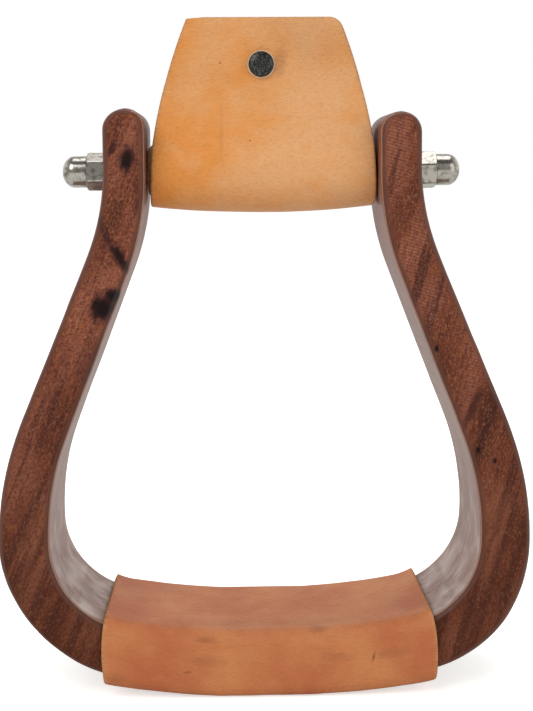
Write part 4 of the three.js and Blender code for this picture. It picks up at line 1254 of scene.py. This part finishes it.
class STIRRUP_OT_neck_leather(bpy.types.Operator):
    """Fold the neck leather round the roller and lay its two plies together"""

    bl_idname = "stirrup.neck_leather"
    bl_label = "Neck Leather"

    def execute(self, context):
        sizes, colours = context.scene.stirrup_sizes, context.scene.stirrup_colours
        # where the painted highlight ring round the rivet goes
        ring = SimpleNamespace(height=sizes.rivet_height, radius=sizes.rivet_cap / 2)
        # rubbed dirt and nicks: x, y, z, size across and along in mm, lean in degrees, strength
        marks = [
            (6.2, -3, 35.6, 1.9, 4.2, 8, 0.3),
            (17.0, -3, 43.0, 16.0, 8.0, 10, 0.14),
            (-13.6, -3, 35.4, 0.3, 0.3, 0, 0.8),
            (-4.0, -9, 9.7, 0.3, 0.3, 0, 0.8),
            (-13.3, -9, 13.0, 0.5, 24.0, 1, 0.12),
        ]
        shades = (colours.strap_light, colours.strap_deep)
        label = "Waxed russet neck leather"
        material = russet_leather(label, shades, colours, marks, side_sheen_tint=0.12, ring=ring)
        half, edge = sizes.leather / 2, sizes.leather_edge
        ply = (sizes.leather + sizes.seat_gap) / 2
        roll = sizes.roll_radius - half
        spread, parting = sizes.strap_spread, sizes.strap_parting
        leaning_out = roll * math.cos(spread) - ply - parting * (1 - math.cos(spread))
        open_run = leaning_out / math.sin(spread)
        parting_z = (roll + parting) * math.sin(spread) + open_run * math.cos(spread)
        down = [(sizes.strap_top - parting_z, 0), (parting * spread, -spread), (open_run, 0)]
        round_turn = math.pi + 2 * spread
        fold = (roll * round_turn, round_turn)
        length, y, z = route((-ply, sizes.strap_top), -math.pi / 2, [*down, fold, *down[::-1]])
        total = length[-1]
        along = strip_lengths(total, edge, near=5 * MM, near_step=0.35 * MM, far_step=1.0 * MM)
        y, z = np.interp(along, length, y), np.interp(along, length, z)

        # half width by height: the fold, drawn in to a shoulder 8 mm up, then a bowed slant
        share = np.linspace(0, 1, 60)
        shoulder, shoulder_z = sizes.strap_fold_half - 1 * MM, 8 * MM
        # a bezier bows out half as far as its middle handle
        bowed = (shoulder + sizes.strap_top_half) / 2 + 2 * sizes.strap_bow
        middle_z = (shoulder_z + sizes.strap_top) / 2
        bezier = np.stack([(1 - share) ** 2, 2 * share * (1 - share), share**2])
        slant_z = np.array([shoulder_z, middle_z, sizes.strap_top]) @ bezier
        slant = np.array([shoulder, bowed, sizes.strap_top_half]) @ bezier
        heights, halves = [-sizes.roll_radius, *slant_z], [sizes.strap_fold_half, *slant]
        wide = np.interp(z, heights, halves)
        left, right = sizes.strap_shift - wide, sizes.strap_shift + wide

        # one top corner is rounded, the other cut with a shallow bevel
        from_top, corner = sizes.strap_top - z, sizes.strap_corner
        missing = np.clip(corner - from_top, 0, corner)
        right += np.sqrt(corner**2 - missing**2) - corner
        left += sizes.strap_bevel * np.clip(1 - from_top / (0.5 * MM), 0, 1)
        # it is cut a little wider to the right, the back ply peeps out there, and both clear
        # the wood as they swing
        right += 0.6 * MM * np.clip(z / sizes.strap_top, 0, 1)
        right += 0.45 * MM * (y > 0) * np.clip(z / (12 * MM), 0, 1)
        limit = sizes.neck_gap / 2 - 0.35 * MM
        left, right = np.maximum(left, -limit), np.minimum(right, limit)
        inset = end_inset(along, total, edge)
        piece, found = swept_strip(
            "neck_leather_strap",
            np.stack([(left + right) / 2, y, z], axis=1),
            np.stack([half - inset, (right - left) / 2], axis=1),
            material,
            wide_axis=(1, 0, 0),
            edge_round=edge,
            edge_step=0.18 * MM,
            flat_step=1.05 * MM,
        )
        mark_raw_edges(piece, found, edge, half)

        # the fold is thinner at its ends, and the leather swells a little all over
        points = read(piece.data.vertices, "co", 3)
        open_height = parting_z - roll * math.sin(spread)
        folded = np.clip((parting_z - found.place[:, 2]) / open_height, 0, 1)
        folded = folded * folded * (3 - 2 * folded)
        thinner = sizes.roll_crown * folded * (points[:, 0] / sizes.strap_fold_half) ** 2
        at = found.place + points * [1, 0, 0]
        lumps = swell(at, 19 * MM, 2.0) + 0.4 * swell(at, 8 * MM, 9.0)
        lift = (np.clip(lumps, -1, 1) + 1) / 2 * sizes.lumps * 0.6 - thinner
        # the rivet pulls both outer faces in, out to 6.2 mm from it
        away = np.hypot(points[:, 0], points[:, 2] - sizes.rivet_height)
        outer_face = (found.section[:, 0] > 0) & (found.place[:, 2] > parting_z - 5 * MM)
        lift -= sizes.rivet_pull * outer_face * np.exp(-((away / (6.2 * MM)) ** 4))
        put(piece.data, points + found.across * lift[:, None])
        close_shell(piece)
        hole = sizes.rivet_post / 2 + sizes.seat_gap
        drill(piece, hole, 32, (0, 1, 0), (0, 0, sizes.rivet_height), 20 * MM)
        smooth(piece, 50)
        hand_over(piece, material, "neck_flap", "russet_leather", "neck_leather")
        return {"FINISHED"}


def hexagon(flats, turn, reach):
    """Radius at each angle of a turned hexagon, given half its size across flats and a limit."""

    def radius(angles):
        from_flat = (angles - turn + math.pi / 6) % (math.pi / 3) - math.pi / 6
        return np.minimum(flats / np.cos(from_flat), reach)

    return radius


class STIRRUP_OT_cap_nuts(bpy.types.Operator):
    """Screw a domed cap nut on each end of the rod"""

    bl_idname = "stirrup.cap_nuts"
    bl_label = "Cap Nuts"

    def execute(self, context):
        sizes, colours = context.scene.stirrup_sizes, context.scene.stirrup_colours
        material = worn_metal(
            "Nickel plated steel",
            (colours.nickel, colours.nickel_worn),
            roughness=0.22,
            grain=1.6,
            dulled=(0.5, 0.66),
        )
        bore = sizes.rod_hole / 2
        flats = sizes.nut_flats / 2
        # the corners are worn by 0.12 mm, and the chamfer begins 0.28 mm inside the flats
        corner = flats / math.cos(math.pi / 6) - 0.12 * MM
        face = flats - 0.28 * MM
        chamfer = (corner - face) * math.tan(math.radians(30))
        dome = sizes.nut_dome / 2
        for name, side, turn in (
            ("left_cap_nut", -1, sizes.left_nut_turn),
            ("right_cap_nut", 1, sizes.right_nut_turn),
        ):
            low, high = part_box(name)
            seat = high.x if side < 0 else low.x
            # the bore, the seat, the chamfered hexagon and the dome
            profile = [(sizes.nut_bore, 0), (sizes.nut_bore, bore), (0, bore), (0, face - 0.1 * MM)]
            cone = [(s * chamfer, face + s * (corner - face)) for s in np.linspace(0, 1, 8)]
            cone = [(0.03 * MM + along, hexagon(flats, turn, reach)) for along, reach in cone]
            top, rise = sizes.nut_hex, sizes.nut_dome_rise
            profile += cone + [(top - along, reach) for along, reach in cone[::-1]]
            profile += [(top, dome + 0.04 * MM)]
            start = high.x - low.x - rise
            arc = np.linspace(0, math.pi / 2, 20)
            profile += [(start + rise * math.sin(a), dome * math.cos(a)) for a in arc]
            piece = turned(name + "_domed", profile, 144, (side, 0, 0), (seat, 0, 0))
            smooth(piece, 24)
            hand_over(piece, material, "frame", "nickel_plate", name)
        return {"FINISHED"}


class STIRRUP_OT_rivet(bpy.types.Operator):
    """Set the two-part rivet through both plies of the neck leather"""

    bl_idname = "stirrup.rivet"
    bl_label = "Rivet"

    def execute(self, context):
        sizes, colours = context.scene.stirrup_sizes, context.scene.stirrup_colours
        material = worn_metal(
            "Blackened steel rivet",
            (colours.gunmetal, colours.gunmetal_worn),
            roughness=0.4,
            grain=0.6,
            dulled=(0.42, 0.7),
        )
        cap, post = sizes.rivet_cap / 2, sizes.rivet_post / 2
        seat = sizes.leather + sizes.seat_gap / 2 - 0.4 * MM  # it sits a little into the leather
        rise = sizes.rivet_dome
        arc = np.linspace(0, math.pi / 2, 12)
        post_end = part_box("rivet_front")[1].y
        for name, side in (("rivet_front", -1), ("rivet_back_cap", 1)):
            low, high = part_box(name)
            rim = (-low.y if side < 0 else high.y) - seat - rise
            # the rim's edges are rounded off by 0.1 to 0.3 mm
            dome = [(rim + rise * math.sin(a), (cap - 0.12 * MM) * math.cos(a)) for a in arc]
            edge = [(0, cap - 0.25 * MM), (0.15 * MM, cap), (rim - 0.12 * MM, cap)]
            if side < 0:
                profile = [(-seat - post_end, 0), (-seat - post_end, post), (0, post), *edge, *dome]
            else:
                depth, hole = post_end + sizes.seat_gap - seat, post + sizes.seat_gap
                profile = [(depth, 0), (depth, hole), (0, hole), *edge, *dome]
            foot = (0, side * seat, sizes.rivet_height)
            piece = turned(name + "_domed", profile, 48, (0, side, 0), foot)
            smooth(piece, 30)
            hand_over(piece, material, "neck_flap", "gunmetal", name)
        return {"FINISHED"}


class STIRRUP_OT_studio(bpy.types.Operator):
    """Set up the floor, the soft lights and the camera"""

    bl_idname = "stirrup.studio"
    bl_label = "Studio"

    def execute(self, context):
        colours = context.scene.stirrup_colours
        scene = context.scene
        scene.view_settings.view_transform = "Standard"

        data = bpy.data.cameras.new("Camera")
        data.sensor_fit = "AUTO"
        data.sensor_width = 36.0
        data.lens = FOCAL_PIXELS / PHOTO_SIDE * data.sensor_width
        data.clip_start = 0.05
        camera = bpy.data.objects.new("Camera", data)
        stand = Matrix.Translation(CAMERA_PLACE)
        for turn, axis in CAMERA_TURNS:
            stand = stand @ Matrix.Rotation(math.radians(turn), 4, axis)
        camera.matrix_world = stand
        scene.collection.objects.link(camera)
        scene.camera = camera

        # floor: plain to the light, near white to the camera, with the shadow kept
        low = cad_box[0].z
        corners = np.array([(-1, -1, 0), (1, -1, 0), (1, 1, 0), (-1, 1, 0)]) * FLOOR_HALF
        floor = mesh_object("floor", corners + [0, 0, low], [(0, 1, 2, 3)])
        material = bpy.data.materials.new("Matt paper")
        material.use_nodes = True
        tree = material.node_tree
        tree.nodes.clear()
        place = add(tree, "ShaderNodeTexCoord", out="Object")
        # paper fibres are 0.1 mm wide, drawn as clouds of 1 mm to show
        grain = add(tree, "ShaderNodeTexNoise", {"Vector": place, "Scale": 0.9 / MM})
        stops = [(0.2, 0.97 * np.array(colours.floor)), (0.8, colours.floor)]
        tint = add(tree, "ShaderNodeValToRGB", {"Fac": grain}, stops=stops)
        seen = add(tree, "ShaderNodeLightPath").node.outputs
        plain = add(tree, "ShaderNodeBsdfDiffuse", {"Color": tint})
        glow = add(tree, "ShaderNodeEmission", {"Color": tint, "Strength": FLOOR_GLOW})
        lit = add(tree, "ShaderNodeAddShader", {0: plain, 1: glow})
        surface = add(tree, "ShaderNodeMixShader", {0: seen["Is Camera Ray"], 1: plain, 2: lit})
        add(tree, "ShaderNodeOutputMaterial", {"Surface": surface})
        floor.data.materials.append(material)

        # world: white wherever it is seen or mirrored, and a plain soft light
        world = bpy.data.worlds.new("Studio")
        world.use_nodes = True
        tree = world.node_tree
        tree.nodes.clear()
        seen = add(tree, "ShaderNodeLightPath").node.outputs
        shown = seen["Is Camera Ray"]
        for ray in ("Is Glossy Ray", "Is Transmission Ray"):
            shown = add(tree, "ShaderNodeMath", {0: shown, 1: seen[ray]}, operation="MAXIMUM")
        # the white backdrop is behind, and the room overhead and in front of the object is dimmer
        toward = add(tree, "ShaderNodeTexCoord", out="Generated")
        toward = add(tree, "ShaderNodeSeparateXYZ", {0: toward}).node.outputs
        dimmed = []
        for axis, start, end, least in (("Z", 0.45, 0.8, 0.35), ("Y", 0.15, -0.35, 0.3)):
            fall = {"Value": toward[axis], "From Min": start, "From Max": end}
            fall |= {"To Min": 1.0, "To Max": least}
            dimmed.append(add(tree, "ShaderNodeMapRange", fall))
        room = add(tree, "ShaderNodeMath", {0: dimmed[0], 1: dimmed[1]}, operation="MULTIPLY")
        white = {0: room, 1: seen["Is Camera Ray"]}
        white = add(tree, "ShaderNodeMath", white, operation="MAXIMUM")
        strength = {"Factor": shown, "A": ROOM_LIGHT, "B": white}
        strength = add(tree, "ShaderNodeMix", strength, data_type="FLOAT")
        light = add(tree, "ShaderNodeBackground", {"Color": (1.0, 1.0, 1.0), "Strength": strength})
        add(tree, "ShaderNodeOutputWorld", {"Surface": light})
        scene.world = world

        # soft boxes: name, size, watts, place; each looks at the object's middle
        aim = Vector((0, 0, -70 * MM))
        for name, size, power, place in (
            ("Key", 0.9, 9.0, (-0.75, -0.95, 0.85)),
            ("Fill", 1.2, 5.0, (0.95, -0.9, 0.35)),
            ("Top", 0.8, 5.0, (0.1, 0.25, 1.2)),
        ):
            lamp = bpy.data.lights.new(name, "AREA")
            lamp.shape = "SQUARE"
            lamp.size = size
            lamp.energy = power
            holder = bpy.data.objects.new(name, lamp)
            holder.location = place
            holder.rotation_euler = (aim - Vector(place)).to_track_quat("-Z", "Y").to_euler()
            scene.collection.objects.link(holder)
        return {"FINISHED"}


class STIRRUP_PT_panel(bpy.types.Panel):
    """Buttons for each piece, and the sizes and colours they are made with"""

    bl_idname = "STIRRUP_PT_panel"
    bl_label = "Stirrup"
    bl_space_type = "VIEW_3D"
    bl_region_type = "UI"
    bl_category = "Stirrup"

    def draw(self, context):
        for operator in OPERATORS:
            self.layout.operator(operator.bl_idname)
        for settings in (context.scene.stirrup_sizes, context.scene.stirrup_colours):
            for key in settings.bl_rna.properties.keys():
                if key not in ("rna_type", "name"):
                    self.layout.prop(settings, key)


OPERATORS = (
    STIRRUP_OT_studio,
    STIRRUP_OT_sides,
    STIRRUP_OT_joinery,
    STIRRUP_OT_tread_leather,
    STIRRUP_OT_tread_tacks,
    STIRRUP_OT_neck_leather,
    STIRRUP_OT_cap_nuts,
    STIRRUP_OT_rivet,
)
CLASSES = (StirrupSizes, StirrupColours, *OPERATORS, STIRRUP_PT_panel)


def register():
    """Adds the panel, the operators and the scene's sizes and colours."""
    for item in CLASSES:
        bpy.utils.register_class(item)
    bpy.types.Scene.stirrup_sizes = PointerProperty(type=StirrupSizes)
    bpy.types.Scene.stirrup_colours = PointerProperty(type=StirrupColours)


def unregister():
    """Takes them away again."""
    del bpy.types.Scene.stirrup_colours
    del bpy.types.Scene.stirrup_sizes
    for item in reversed(CLASSES):
        bpy.utils.unregister_class(item)


def main():
    """Makes every piece and the stage."""
    register()
    bpy.ops.stirrup.studio()
    bpy.ops.stirrup.sides()
    bpy.ops.stirrup.joinery()
    bpy.ops.stirrup.tread_leather()
    bpy.ops.stirrup.tread_tacks()
    bpy.ops.stirrup.neck_leather()
    bpy.ops.stirrup.cap_nuts()
    bpy.ops.stirrup.rivet()


if __name__ == "__main__":
    main()
